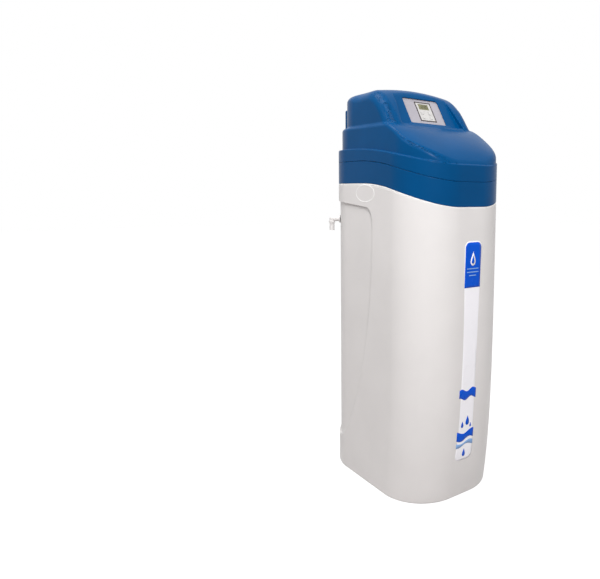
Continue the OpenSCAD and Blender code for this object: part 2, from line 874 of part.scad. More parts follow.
module drive_housing() {
    w = housing_x1 - housing_x0;
    h = housing_z1 - housing_z0;
    color(black) difference() {
        union() {
            difference() {
                translate([housing_x0, y_cover, housing_z0]) cube([w, y_back - y_cover, h]);
                translate([housing_x0 + housing_wall, y_cover - 1, housing_z0 + housing_wall])
                    cube([w - 2 * housing_wall, y_back - back_wall - y_cover + 1, h - 2 * housing_wall]);
            }
            for (p = screw_at) rod_y(screw_post_r, y_cover, y_back - 1, p[0], p[1]);
        }
        rod_y(gear_hub_r + turn_gap, y_cover, y_back + 1, 0, z_bore);
        rod_y(shaft_r + fit_gap, y_cover, y_back + 1, motor_x, z_bore);
        for (p = screw_at) rod_y(screw_r + turn_gap, y_cover - 1, y_cover + screw_l, p[0], p[1]);
    }
}

module drive_cover() {
    color(black) difference() {
        translate([housing_x0, y_cover - drive_cover_t, housing_z0])
            cube([housing_x1 - housing_x0, drive_cover_t, housing_z1 - housing_z0]);
        for (p = screw_at) rod_y(screw_r + fit_gap, y_cover - drive_cover_t - 1, y_cover + 1, p[0], p[1]);
    }
}

module drive_screws() {
    head_t = 2.5;
    color(steel) for (p = screw_at) {
        rod_y(screw_r, y_cover - drive_cover_t - 1, y_cover + screw_l - 1, p[0], p[1]);
        rod_y(screw_r * 1.9, y_cover - drive_cover_t - head_t, y_cover - drive_cover_t, p[0], p[1]);
    }
}

// Gear outline with slim straight teeth; turn is the first tooth's angle in pitches
foot_half = 0.26;
tip_half = 0.1;
foot_depth = 1.2;
tip_height = 0.9;
function gear_outline(teeth, turn) =
    let (r = teeth * tooth_module / 2, pitch = 360 / teeth)
    [for (i = [0:teeth - 1], k = [0:3]) let (
        a = pitch * (i + turn + [-foot_half, -tip_half, tip_half, foot_half][k]),
        q = r + tooth_module * [-foot_depth, tip_height, tip_height, -foot_depth][k]
    ) [q * cos(a), q * sin(a)]];

module main_gear() {
    color(cream) difference() {
        union() {
            translate([0, gear_y, z_bore]) rotate([-90, 0, 0])
                linear_extrude(gear_t) polygon(gear_outline(gear_teeth, 0));
            rod_y(gear_hub_r, gear_y, y_back - hub_end_gap, 0, z_bore);
        }
        rod_y(rod_r + fit_gap, gear_y - 1, y_back + 1, 0, z_bore);
    }
}

shaft_r = 2.5;
shaft_in = 10;
module motor_pinion() {
    color(steel) union() {
        translate([motor_x, gear_y - 1, z_bore]) rotate([-90, 0, 0])
            linear_extrude(gear_t + 2) polygon(gear_outline(pinion_teeth, 0.5));
        rod_y(shaft_r, gear_y, y_back + shaft_in, motor_x, z_bore);
    }
}

module drive_motor() {
    color(steel) difference() {
        rod_y(motor_r, y_back, y_back + motor_l, motor_x, z_bore);
        rod_y(shaft_r + turn_gap, y_back - 1, y_back + shaft_in + fit_gap, motor_x, z_bore);
    }
}

// Bracket from the drive housing up to the back of the controller's case
bracket_half = 25;
bracket_set = 20;
bracket_wall = 4;
module controller_bracket() {
    color(black) difference() {
        translate([-bracket_half, y_cover + bracket_set, housing_z1])
            cube([2 * bracket_half, y_back - y_cover - bracket_set, z_top - housing_z1]);
        on_panel() block(cabinet_w, cabinet_d, -panel_t - case_depth, far);
        translate([-bracket_half + bracket_wall, y_cover, housing_z1 + bracket_wall])
            cube([2 * (bracket_half - bracket_wall), y_back - y_cover - bracket_wall, z_top]);
        translate([-far / 2, y_cover, z_top - hump_h / 2]) cube([far, cabinet_d, far]);
    }
}

// Flow meter in the outlet tail
turbine_in = 44;
turbine_y = y_tail - turbine_in;
turbine_l = 16;
turbine_hub_r = 3;
turbine_pin_r = 1.5;
pin_front = 4;
blade_r = tail_bore_r - 1;
blade_set = 2;
blade_t = 1.2;
blade_pitch = 25;
module turbine_cage() {
    cage_l = 6;
    cage_gap = 2;
    holes = 6;
    hole_r = 2.2;
    hole_at = (turbine_hub_r + tail_bore_r) / 2 - 0.5;
    y0 = turbine_y + turbine_l + cage_gap;
    color(white) {
        rod_y(turbine_pin_r, turbine_y - pin_front, y0 + 1, port_x, z_port);
        difference() {
            rod_y(tail_bore_r - turn_gap, y0, y0 + cage_l, port_x, z_port);
            for (i = [1:holes]) translate([port_x, y0, z_port]) rotate([0, i * 360 / holes, 0])
                rod_y(hole_r, -1, cage_l + 1, hole_at, 0);
        }
    }
}

module turbine() {
    color(blue) difference() {
        union() {
            rod_y(turbine_hub_r, turbine_y, turbine_y + turbine_l, port_x, z_port);
            for (i = [0:4]) translate([port_x, turbine_y + turbine_l / 2, z_port]) rotate([0, i * 72, 0])
                rotate([0, 0, blade_pitch])
                    translate([-blade_t / 2, -turbine_l / 2 + blade_set, turbine_hub_r - 1])
                        cube([blade_t, turbine_l - 2 * blade_set, blade_r - turbine_hub_r]);
        }
        rod_y(turbine_pin_r + turn_gap, turbine_y - 1, turbine_y + turbine_l + 1, port_x, z_port);
    }
}

// Injector, brine elbow and drain on the valve's sides
side_set = 30;
y_side = tank_y + side_set;
injector_r = 13;
injector_l = 16;
injector_rise = 6;
injector_x = -wide_half - injector_l;
z_injector = z_port + injector_rise;
well_from_front = 132;
tube_off = 12;
elbow_arm = 10;
tube_x = injector_x - elbow_arm;
well_x = tube_x - tube_off;
well_y = y_front + well_from_front;
tube_y = well_y;
elbow_out_r = tube_r + 2.5;
elbow_socket_l = 20;
elbow_socket_y = y_side - elbow_socket_l;
module injector_cap() color(pale_grey) rod_x(injector_r, injector_x, -wide_half, y_side, z_injector);

module brine_elbow() {
    color(white) difference() {
        union() {
            rod_x(elbow_out_r, tube_x, injector_x, y_side, z_injector);
            translate([tube_x, y_side, z_injector]) sphere(elbow_out_r);
            rod_y(elbow_out_r, elbow_socket_y, y_side, tube_x, z_injector);
        }
        rod_y(tube_r + turn_gap, elbow_socket_y - 1, y_side - elbow_socket_l / 2, tube_x, z_injector);
    }
}

drain_r = 6.5;
drain_l = 72;
drain_arm = 12;
drain_rise = 26;
drain_elbow_r = drain_r + 1.5;
drain_shoulder_r = drain_elbow_r + 1.5;
drain_shoulder_l = 12;
z_drain = z_port + drain_rise;
drain_x = wide_half + drain_arm;
module drain_fitting() {
    color(white) {
        rod_x(drain_elbow_r, wide_half, drain_x, y_side, z_drain);
        translate([drain_x, y_side, z_drain]) sphere(drain_elbow_r);
        rod_y(drain_shoulder_r, y_side, y_side + drain_shoulder_l, drain_x, z_drain);
        rod_y(drain_r, y_side, y_side + drain_l, drain_x, z_drain);
    }
}

// Bypass: each side has a neck, an end with a pipe socket, and a shut-off disc on a spindle
nut_set = 12;
y_nut = y_rear - nut_set;
nut_l = 9;
nut_lip = 3;
nut_grooves = 18;
nut_groove_w = 2;
nut_groove_depth = 1;
y_neck = y_tail + fit_gap;
flange_t = 3;
end_set = 5;
y_end = y_rear + end_set;
end_l = 19;
y_spindle = y_end + 3.5;
boss_r = spindle_r + 3.5;
boss_rise = 23;
z_boss = z_port + boss_rise;
link_r = 9;
disc_t = 2.5;
module union_nuts() {
    color(black) for (s = [-1, 1]) difference() {
        rod_y(nut_r, y_nut, y_nut + nut_l, s * port_x, z_port);
        rod_y(tail_r + fit_gap, y_nut - 1, y_nut + nut_l - nut_lip, s * port_x, z_port);
        rod_y(bypass_neck_r + fit_gap, y_nut, y_nut + nut_l + 1, s * port_x, z_port);
        for (i = [1:nut_grooves]) translate([s * port_x, y_nut - 1, z_port])
            rotate([0, i * 360 / nut_grooves, 0])
                translate([-nut_groove_w / 2, 0, nut_r - nut_groove_depth])
                    cube([nut_groove_w, nut_l + 2, nut_r]);
    }
}

module bypass_body() {
    color(black) difference() {
        union() {
            rod_x(link_r, -port_x, port_x, y_end + end_l / 2, z_port);
            for (s = [-1, 1]) {
                rod_y(bypass_neck_r, y_neck, y_end + 1, s * port_x, z_port);
                rod_y(tail_r - fit_gap, y_neck, y_neck + flange_t, s * port_x, z_port);
                rod_y(bypass_end_r, y_end, y_end + end_l, s * port_x, z_port);
                translate([s * port_x, y_spindle, z_port]) cylinder(r = boss_r, h = z_boss - z_port);
            }
        }
        for (s = [-1, 1]) {
            rod_y(water_r, y_neck - 1, y_end + end_l, s * port_x, z_port);
            rod_y(socket_r, y_end + end_l - socket_l, y_end + end_l + 1, s * port_x, z_port);
            translate([s * port_x, y_spindle, z_port]) cylinder(r = spindle_r + turn_gap, h = far);
        }
    }
}

module shut_off(s) {
    disc_r = water_r - fit_gap;
    color(steel) {
        translate([s * port_x, y_spindle, z_port]) cylinder(r = spindle_r, h = z_boss + fit_gap - z_port);
        intersection() {
            rod_x(disc_r, s * port_x - disc_t / 2, s * port_x + disc_t / 2, y_spindle, z_port);
            rod_y(disc_r, y_end - far / 2, y_end + far / 2, s * port_x, z_port);
        }
    }
}
module inlet_spindle() shut_off(-1);
module outlet_spindle() shut_off(1);

hub_h = 5;
hub_r = boss_r + 1.5;
module turn_handle(s) {
    t = 6;
    fin_z = hub_h - 1;
    color(red) translate([s * port_x, y_spindle, z_boss + fit_gap]) {
        cylinder(r = hub_r, h = hub_h);
        block(handle_l - t, t, fin_z, handle_h);
        for (e = [-1, 1]) translate([e * (handle_l - t) / 2, 0, fin_z])
            cylinder(r = t / 2, h = handle_h - fin_z);
    }
}
module inlet_handle() turn_handle(-1);
module outlet_handle() turn_handle(1);

// Brine well with its float and tube
module on_well() translate([well_x, well_y, 0]) children();
well_top = cabinet_floor + well_h;
cap_skirt = 10;
cap_t = 3;
brine_valve_r = 28;
brine_valve_h = 60;
rod_x_off = -12;
rod_guide = 10;
rod_z = cabinet_floor + brine_valve_h - float_travel - rod_guide;
rod_l = well_h * 0.8;
float_z = cabinet_floor + well_h * 0.35;
module brine_well() {
    slot_w = 6;
    slot_h = 40;
    slot_z = cabinet_floor + 15;
    color(white) on_well() difference() {
        translate([0, 0, cabinet_floor]) cylinder(r = well_r, h = well_h);
        translate([0, 0, cabinet_floor - 1]) cylinder(r = well_r - well_wall, h = well_h + 2);
        for (i = [0:5]) rotate([0, 0, i * 60 + 30])
            translate([0, -slot_w / 2, slot_z]) cube([well_r * 2, slot_w, slot_h]);
    }
}

module well_cap() {
    color(black) on_well() difference() {
        translate([0, 0, well_top - cap_skirt]) cylinder(r = well_r + fit_gap + cap_t, h = cap_skirt + cap_t);
        translate([0, 0, well_top - cap_skirt - 1]) cylinder(r = well_r + fit_gap, h = cap_skirt + 1);
        translate([tube_off, 0, 0]) cylinder(r = tube_r + fit_gap, h = far);
    }
}

tube_socket = 10;
tube_seat_z = cabinet_floor + brine_valve_h - tube_socket;
module brine_valve() {
    color(black) on_well() difference() {
        translate([0, 0, cabinet_floor]) cylinder(r = brine_valve_r, h = brine_valve_h);
        translate([rod_x_off, 0, rod_z - fit_gap]) cylinder(r = float_rod_r + turn_gap, h = far);
        translate([tube_off, 0, tube_seat_z]) cylinder(r = tube_r + turn_gap, h = tube_socket + 1);
    }
}

module float_rod() {
    color(steel) on_well() translate([rod_x_off, 0, rod_z]) cylinder(r = float_rod_r, h = rod_l);
}

// The float clears the brine tube by a channel in its side
float_channel = 2;
module brine_float() {
    channel_r = tube_r + float_channel;
    color("#d9d4c6") on_well() translate([0, 0, float_z]) difference() {
        cylinder(r = float_r, h = float_h);
        translate([rod_x_off, 0, -1]) cylinder(r = float_rod_r, h = float_h + 2);
        translate([tube_off, 0, -1]) cylinder(r = channel_r, h = float_h + 2);
        translate([tube_off, -channel_r, -1]) cube([float_r, 2 * channel_r, float_h + 2]);
    }
}

tube_z = tube_seat_z + fit_gap;
module brine_tube() {
    color(cream) {
        translate([tube_x, tube_y, tube_z]) cylinder(r = tube_r, h = z_injector - tube_bend_r - tube_z);
        translate([tube_x, tube_y + tube_bend_r, z_injector - tube_bend_r]) rotate([90, 0, 90])
            rotate([0, 0, 90]) rotate_extrude(angle = 90) translate([tube_bend_r, 0]) circle(tube_r);
        rod_y(tube_r, tube_y + tube_bend_r, y_side - elbow_socket_l / 2 - fit_gap, tube_x, z_injector);
    }
}

// Overflow through the rear left corner
gasket_t = 2;
flange_r = 12;
overflow_nut_t = 8;
overflow_nut_gap = 0.9;
elbow_flange_t = 3;
elbow_tail = 3;
elbow_shoulder_s = 7;
elbow_shoulder_l = 5;
elbow_shoulder_r = elbow_r + 2;
module overflow_elbow() {
    leg_s = wall_out + elbow_reach;
    tail_s = wall_in - overflow_nut_t - elbow_tail;
    color(white) on_overflow() {
        translate([0, 0, tail_s]) cylinder(r = elbow_r, h = leg_s - tail_s);
        translate([0, 0, wall_out + gasket_t]) cylinder(r = flange_r, h = elbow_flange_t);
        translate([0, 0, leg_s]) sphere(elbow_r);
        translate([0, 0, leg_s]) rotate([0, 90, 0]) cylinder(r = elbow_r, h = elbow_drop);
        translate([elbow_shoulder_s, 0, leg_s]) rotate([0, 90, 0])
            cylinder(r = elbow_shoulder_r, h = elbow_shoulder_l);
    }
}

module overflow_gasket() {
    color(dark) difference() {
        on_overflow() difference() {
            translate([0, 0, wall_out - 1]) cylinder(r = flange_r, h = gasket_t + 1);
            cylinder(r = elbow_r + turn_gap, h = corner_r * 2);
        }
        translate([-(cabinet_w / 2 - corner_r), y_rear - corner_r, 0])
            cylinder(r = wall_out, h = far * 2, $fn = 256);
    }
}

module overflow_nut() {
    nut_s = wall_in - overflow_nut_gap - overflow_nut_t;
    color(pale_grey) on_overflow() translate([0, 0, nut_s]) difference() {
        cylinder(r = flange_r, h = overflow_nut_t, $fn = 6);
        translate([0, 0, -1]) cylinder(r = elbow_r + turn_gap, h = overflow_nut_t + 2);
    }
}

cabinet_shell();
top_collar();
cover_shell();
cover_plugs();
control_panel();
display_frame();
keypad();
screen();
circuit_board();
controller_case();
button_1();
button_2();
button_3();
button_4();
controller_bracket();
resin_tank();
tank_boot();
resin_bed();
riser_tube();
lower_strainer();
upper_strainer();
valve_body();
bore_seals();
bore_plug();
piston();
drive_housing();
drive_cover();
drive_screws();
main_gear();
motor_pinion();
drive_motor();
turbine_cage();
turbine();
injector_cap();
brine_elbow();
drain_fitting();
union_nuts();
bypass_body();
inlet_spindle();
inlet_handle();
outlet_spindle();
outlet_handle();
brine_well();
well_cap();
brine_valve();
brine_float();
float_rod();
brine_tube();
overflow_elbow();
overflow_gasket();
overflow_nut();
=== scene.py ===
import json
import math

import bpy
import numpy as np
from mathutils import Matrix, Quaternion, Vector
from mathutils.geometry import delaunay_2d_cdt


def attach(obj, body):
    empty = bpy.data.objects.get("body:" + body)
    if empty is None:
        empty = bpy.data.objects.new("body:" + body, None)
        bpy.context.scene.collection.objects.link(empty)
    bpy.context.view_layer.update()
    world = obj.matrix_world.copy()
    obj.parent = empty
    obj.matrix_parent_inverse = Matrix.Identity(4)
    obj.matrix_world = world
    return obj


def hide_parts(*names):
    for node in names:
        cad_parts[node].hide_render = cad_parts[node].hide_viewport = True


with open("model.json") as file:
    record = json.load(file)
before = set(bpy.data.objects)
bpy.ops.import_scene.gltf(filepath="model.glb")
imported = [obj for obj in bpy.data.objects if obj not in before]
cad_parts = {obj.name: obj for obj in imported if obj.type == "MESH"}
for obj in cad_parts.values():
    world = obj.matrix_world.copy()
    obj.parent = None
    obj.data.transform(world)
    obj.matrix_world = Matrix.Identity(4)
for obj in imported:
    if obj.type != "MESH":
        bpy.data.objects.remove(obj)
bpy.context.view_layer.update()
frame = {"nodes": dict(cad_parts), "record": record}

# Shared sizes in millimetres, in the part's own frame: +Z up, the front faces -Y

MM = 0.001
HALF_W = 167.0
HALF_D = 242.0
CORNER_R = 130.0
ARC_X = HALF_W - CORNER_R
ARC_Y = HALF_D - CORNER_R
FLOOR_T = 6.0
WALL = 4.5
# Each edge line is level at the rear and falls to the front: height, fall, length of the level stretch
RIM = (857.0, 60.0, 222.0)
SEAM = (918.0, 57.0, 192.0)
LEDGE = (954.0, 49.0, 132.0)
RIM_Z = RIM[0]
SHOULDER_Z = 1018.0
TOP_Z = 1124.0
NOTCH_HALF = 104.0
NOTCH_FRONT = 177.0
COLLAR_NOTCH_Z = 905.0
COVER_NOTCH_Z = 960.5
FRONT_TUCK = 26.0
TUCK_POWER = 4.5


def edge_z(line, y):
    """Height of an edge line at a place along the depth."""
    height, drop, level = line
    return height - drop * np.maximum(0.0, (HALF_D - level - y) / (2 * HALF_D - level)) ** 2


def edge_slope(line, y):
    """Slope of an edge line along the depth."""
    _, drop, level = line
    run = 2 * HALF_D - level
    return 2 * drop / run * np.maximum(0.0, (HALF_D - level - y) / run)


RIM_FRONT_Z = float(edge_z(RIM, -HALF_D))


def front_tuck(z):
    """How far the front face lies back at a height."""
    return FRONT_TUCK * np.clip((RIM_FRONT_Z - z) / RIM_FRONT_Z, 0.0, 1.0) ** TUCK_POWER


def bezier(points, count):
    """Points along a cubic curve."""
    p = np.asarray(points, float)
    s = np.linspace(0.0, 1.0, count + 1)[:, None]
    return (1 - s) ** 3 * p[0] + 3 * s * (1 - s) ** 2 * p[1] + 3 * s * s * (1 - s) * p[2] + s ** 3 * p[3]


def curve_at(points, s):
    """Point and direction of a cubic curve at a share of its length."""
    p = np.asarray(points, float)
    while len(p) > 2:
        p = p[:-1] + s * (p[1:] - p[:-1])
    return p[0] + s * (p[1] - p[0]), (p[1] - p[0]) / np.linalg.norm(p[1] - p[0])


def smoothstep(t):
    """A soft step from 0 to 1."""
    t = np.clip(t, 0.0, 1.0)
    return t * t * (3.0 - 2.0 * t)


# Mesh pieces

FILM = 0.1


def mesh_piece(name, points, faces, body, material, stands_for=(), sharp=None, normals=None):
    """A mesh object from millimetre points, riding on a body of the frame."""
    mesh = bpy.data.meshes.new(name)
    places = (np.asarray(points, float) * MM).tolist()
    mesh.from_pydata(places, [], [tuple(int(i) for i in f) for f in faces])
    mesh.polygons.foreach_set("use_smooth", [True] * len(mesh.polygons))
    if sharp is not None:
        mesh.set_sharp_from_angle(angle=math.radians(sharp))
    if normals is not None:
        mesh.normals_split_custom_set_from_vertices(np.asarray(normals).tolist())
    mesh.materials.append(material)
    obj = bpy.data.objects.new(name, mesh)
    bpy.context.scene.collection.objects.link(obj)
    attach(obj, body)
    if stands_for:
        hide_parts(*stands_for)
    return obj


def film_piece(name, points, faces, material):
    """A thin film on the cabinet, with its thickness to the inside."""
    obj = mesh_piece(name, points, faces, "cabinet", material)
    thick = obj.modifiers.new("thickness", "SOLIDIFY")
    thick.thickness = FILM * MM
    thick.offset = -1.0
    return obj


def grid_faces(rows, cols, closed):
    """Quads of a grid of points, row by row."""
    faces = []
    for r in range(rows - 1):
        for c in range(cols if closed else cols - 1):
            d = (c + 1) % cols
            faces.append((r * cols + c, r * cols + d, (r + 1) * cols + d, (r + 1) * cols + c))
    return faces


# Materials: scales count waves in a metre, and bump distances are in metres

NOISE_LOW, NOISE_HIGH = 0.35, 0.65
SPECK_SHARE = 0.16
GLOSS_LESS, GLOSS_MORE = 0.4, 0.6
STREAK_LESS, STREAK_MORE = 0.06, 0.12


def linear(code):
    """Linear colour of a hex code."""
    srgb = [int(code[i:i + 2], 16) / 255 for i in (1, 3, 5)]
    return [c / 12.92 if c <= 0.04045 else ((c + 0.055) / 1.055) ** 2.4 for c in srgb] + [1.0]


class Nodes:
    """Short way to add and join the nodes of one material."""

    def __init__(self, name):
        self.material = bpy.data.materials.new(name)
        self.material.use_nodes = True
        self.tree = self.material.node_tree
        self.tree.nodes.clear()
        self.output = self.add("ShaderNodeOutputMaterial")
        self.place = self.add("ShaderNodeTexCoord").outputs["Object"]

    def add(self, kind, **inputs):
        node = self.tree.nodes.new(kind)
        for key, value in inputs.items():
            self.set(node, key.replace("_", " "), value)
        return node

    def set(self, node, socket, value):
        if isinstance(value, bpy.types.NodeSocket):
            self.tree.links.new(value, node.inputs[socket])
        else:
            node.inputs[socket].default_value = value

    def noise(self, scale, detail=2.0, place=None):
        node = self.add("ShaderNodeTexNoise", Scale=scale, Detail=detail)
        self.tree.links.new(place or self.place, node.inputs["Vector"])
        return node.outputs["Fac"]

    def ranged(self, value, low, high, start=NOISE_LOW, end=NOISE_HIGH):
        node = self.add("ShaderNodeMapRange", Value=value, From_Min=start, From_Max=end,
                        To_Min=low, To_Max=high)
        return node.outputs["Result"]

    def mix(self, share, first, second):
        node = self.add("ShaderNodeMix")
        node.data_type = "RGBA"
        self.set(node, 0, share)
        self.set(node, 6, first)
        self.set(node, 7, second)
        return node.outputs[2]

    def bump(self, height, strength, distance):
        node = self.add("ShaderNodeBump", Strength=strength, Distance=distance, Height=height)
        return node.outputs["Normal"]

    def shader(self, **inputs):
        node = self.add("ShaderNodeBsdfPrincipled", **inputs)
        self.tree.links.new(node.outputs[0], self.output.inputs["Surface"])
        return self.material


def moulded(name, colour, tint, rough, grain=900.0, depth=0.00012, strength=0.12, patch=7.0,
            uneven=0.1, **more):
    """Moulded plastic: soft patches of tint, a fine grain and uneven gloss."""
    n = Nodes(name)
    patches = n.ranged(n.noise(scale=patch, detail=3.0), low=0.0, high=1.0)
    shade = n.mix(patches, linear(colour), linear(tint))
    specks = n.ranged(n.noise(scale=420.0, detail=2.0), low=0.0, high=SPECK_SHARE)
    speckled = n.mix(specks, shade, linear(tint))
    gloss = n.ranged(n.noise(scale=38.0, detail=4.0), low=rough - GLOSS_LESS * uneven,
                     high=rough + GLOSS_MORE * uneven)
    relief = n.bump(n.noise(scale=grain, detail=3.0), strength, depth)
    return n.shader(Base_Color=speckled, Roughness=gloss, Normal=relief, **more)


def metal(name, colour, tint, rough, brush):
    """Plated or turned metal with fine brushing across one direction."""
    n = Nodes(name)
    stretch = n.add("ShaderNodeMapping", Vector=n.place, Scale=brush)
    streak = n.noise(scale=300.0, detail=3.0, place=stretch.outputs[0])
    tarnish = n.ranged(n.noise(scale=24.0, detail=4.0), low=0.0, high=1.0)
    shade = n.mix(tarnish, linear(colour), linear(tint))
    gloss = n.ranged(streak, rough - STREAK_LESS, rough + STREAK_MORE)
    relief = n.bump(streak, strength=0.15, distance=0.0001)
    return n.shader(Base_Color=shade, Metallic=1.0, Roughness=gloss, Normal=relief)


def beads(name, colour, tint):
    """Packed resin beads."""
    n = Nodes(name)
    cell = n.add("ShaderNodeTexVoronoi", Vector=n.place, Scale=900.0)
    round_top = n.ranged(cell.outputs["Distance"], low=1.0, high=0.0, start=0.0, end=0.8)
    share = n.ranged(cell.outputs["Color"], low=0.0, high=1.0, start=0.1, end=0.9)
    shade = n.mix(share, linear(colour), linear(tint))
    relief = n.bump(round_top, strength=0.8, distance=0.0006)
    return n.shader(Base_Color=shade, Roughness=0.3, Normal=relief)


def circuit(name):
    """Printed board: green mask with paler tracks and pads."""
    n = Nodes(name)
    tracks = n.add("ShaderNodeTexBrick", Vector=n.place, Scale=90.0, Mortar_Size=0.03,
                   Color1=linear("#0f5a34"), Color2=linear("#14683c"), Mortar=linear("#2f9a5c"))
    stain = n.ranged(n.noise(scale=60.0), low=0.0, high=0.3)
    shade = n.mix(stain, tracks.outputs["Color"], linear("#0b4023"))
    relief = n.bump(tracks.outputs["Fac"], strength=0.4, distance=0.0002)
    return n.shader(Base_Color=shade, Roughness=0.35, Normal=relief)


def display(name):
    """Liquid crystal screen: olive with fine rows and a smooth cover."""
    n = Nodes(name)
    rows = n.add("ShaderNodeTexWave", Vector=n.place, Scale=420.0, Distortion=0.0)
    rows.bands_direction = "X"
    patches = n.ranged(n.noise(scale=30.0), low=0.0, high=1.0)
    shade = n.mix(patches, linear("#77764c"), linear("#666540"))
    lines = n.ranged(rows.outputs["Fac"], low=0.0, high=0.18, start=0.0, end=1.0)
    lined = n.mix(lines, shade, linear("#55543a"))
    return n.shader(Base_Color=lined, Roughness=0.18, Coat_Weight=0.6, Coat_Roughness=0.05)


def printed(name, colour, tint):
    """Printed film: even ink with a faint mottle and a soft gloss."""
    return moulded(name, colour, tint, 0.3, grain=1600.0, depth=0.00004, strength=0.1, patch=18.0,
                   Specular_IOR_Level=0.1)


MATERIALS = {
    "white_plastic": moulded("white_plastic", "#e3e0df", "#dfdcdb", 0.4, Specular_IOR_Level=0.35),
    "blue_plastic": moulded("blue_plastic", "#004a7f", "#004678", 0.3, grain=130.0, strength=0.02,
                            uneven=0.03, Specular_IOR_Level=0.07),
    "grey_plastic": moulded("grey_plastic", "#aaa6ad", "#a09ca4", 0.45),
    "dark_plastic": moulded("dark_plastic", "#3a3031", "#2e2627", 0.4),
    "keypad_plastic": moulded("keypad_plastic", "#c9c7c5", "#bdbab9", 0.5, grain=1500.0),
    "screen_glass": display("screen_glass"),
    "board_green": circuit("board_green"),
    "black_plastic": moulded("black_plastic", "#25262a", "#1c1d20", 0.38, strength=0.2),
    "tank_plastic": moulded("tank_plastic", "#cfd0c6", "#bfc0b4", 0.5, grain=220.0, strength=0.25,
                            patch=14.0),
    "black_rubber": moulded("black_rubber", "#1b1b1c", "#262627", 0.7, grain=1400.0, strength=0.3),
    "resin_beads": beads("resin_beads", "#b5762d", "#8d5419"),
    "cream_plastic": moulded("cream_plastic", "#e3dbc2", "#d8ceb1", 0.45),
    "plated_steel": metal("plated_steel", "#b9bcc0", "#a3a7ad", 0.28, brush=(1.0, 1.0, 24.0)),
    "brass_metal": metal("brass_metal", "#c39a4a", "#a97f35", 0.3, brush=(1.0, 20.0, 1.0)),
    "red_plastic": moulded("red_plastic", "#9c2226", "#86191d", 0.4),
}
# Paler, glossier white that paints a highlight onto the rim's bead and onto the side ovals
HIGHLIGHT_WHITE = moulded("painted_highlight_white", "#f6f5f4", "#f3f1f0", 0.25, strength=0.06)
LABEL_WHITE = printed("label_white", "#fbfaff", "#f9f8fd")
LABEL_BLUE = printed("label_blue", "#0458d6", "#0452cc")
LABEL_PALE = printed("label_pale", "#8fb4e6", "#86addf")
INK_DARK = printed("ink_dark", "#2b2b20", "#24241b")
STICKER_WHITE = printed("sticker_white", "#f0efee", "#e8e6e5")
STICKER_GREY = printed("sticker_grey", "#a7a6a8", "#9b9a9d")

# Cabinet: a loft of the plan outline, with the recess pressed into its sides and rear

RECESS_DEPTH = 5.0
RECESS_FRONT = -26.0
RECESS_REAR = 252.0
RECESS_TOP = 813.0
# The recess's top edge falls to the front, down to the start of its corner, and the rows follow it
RECESS_FALL = 20.0
CORNER_Y = 10.0
BEND_Z = 720.0
RECESS_FOOT = (120.0, 112.0)
RECESS_CORNER = [(CORNER_Y, RECESS_TOP - RECESS_FALL), (-20, 789), (-27, 765), (RECESS_FRONT, BEND_Z)]
RECESS_EDGE = [(RECESS_FRONT, BEND_Z), (RECESS_FRONT, 519), (20, 240), RECESS_FOOT]
RECESS_BOTTOM = [RECESS_FOOT, (150, 76), (185, 88), (RECESS_REAR, 104)]
# The step into the recess: its width above, and how much wider it gets between two heights
STEP_WIDTH, STEP_MORE = 1.4, 7.0
STEP_HIGH, STEP_HIGH_RUN = 700.0, 400.0
STEP_LOW, STEP_LOW_RUN = 110.0, 120.0
# Rows of points above the split follow the rim, and they follow the recess's top behind the fade
SPLIT_Z = 690.0
FADE_Y, FADE_RUN = -120.0, 60.0
RIM_BAND = 8.0
# Columns of points along the front, round a corner and along a side
CABINET_COLUMNS = (10, 44, 150)
CABINET_SHARP = 42
# Profiles hold heights and insets, with the heights of the last one counted from the rim
UNDERSIDE = [(3.0, 60.0), (3.0, 15.0), (0.6, 14.0), (0.0, 13.0)]
FOOT_PROFILE = [(0.0, 4.2), (0.25, 2.8), (0.9, 1.5), (2.0, 0.6), (3.6, 0.1)]
RIM_PROFILE = [
    (-6.6, 0.0), (-5.9, 0.8), (-5.4, 0.9), (-4.7, 0.4), (-3.4, 0.0), (-2.2, 0.1), (-1.0, 0.6), (0.0, 1.6),
]
RIM_GROOVE_ROWS = 2
# Stretches of rows with their start, end and spacing, closer where the recess bends
LOW_Z = 140.0
OUTER_ROWS = [
    (5.0, 80.0, 8.0), (80.0, LOW_Z, 2.5), (LOW_Z, SPLIT_Z, 6.0), (SPLIT_Z, 785.0, 3.2),
    (785.0, RECESS_TOP - 3.0, 2.4),
]
RECESS_TOP_ROWS = (-2.4, -1.8, -1.2, -0.6, 0.0, 0.6, 2.0)
BAND_ROWS = (RECESS_TOP + 4.0, RIM_Z - RIM_BAND, 3.0)
FILLET, FILLET_MID = 4.0, 1.2
INNER_ROWS = [(RIM_Z - RIM_BAND, LOW_Z, -14.0), (LOW_Z, FLOOR_T + FILLET, -6.0)]
INNER_EDGE = 0.6


def plan_columns(line_n, arc_n, side_n):
    """Base points and outward normals round the plan, from the front's left end and anticlockwise."""
    base, out = [], []

    def line(x0, y0, x1, y1, n, normal):
        for i in range(n):
            t = i / n
            base.append((x0 + (x1 - x0) * t, y0 + (y1 - y0) * t))
            out.append(normal)

    def arc(x, y, start, n):
        for i in range(n):
            a = math.radians(start + 90 * i / n)
            base.append((x, y))
            out.append((math.cos(a), math.sin(a)))

    line(-ARC_X, -ARC_Y, ARC_X, -ARC_Y, line_n, (0, -1))
    arc(ARC_X, -ARC_Y, -90, arc_n)
    line(ARC_X, -ARC_Y, ARC_X, ARC_Y, side_n, (1, 0))
    arc(ARC_X, ARC_Y, 0, arc_n)
    line(ARC_X, ARC_Y, -ARC_X, ARC_Y, line_n, (0, 1))
    arc(-ARC_X, ARC_Y, 90, arc_n)
    line(-ARC_X, ARC_Y, -ARC_X, -ARC_Y, side_n, (-1, 0))
    arc(-ARC_X, -ARC_Y, 180, arc_n)
    return np.array(base, float), np.array(out, float)


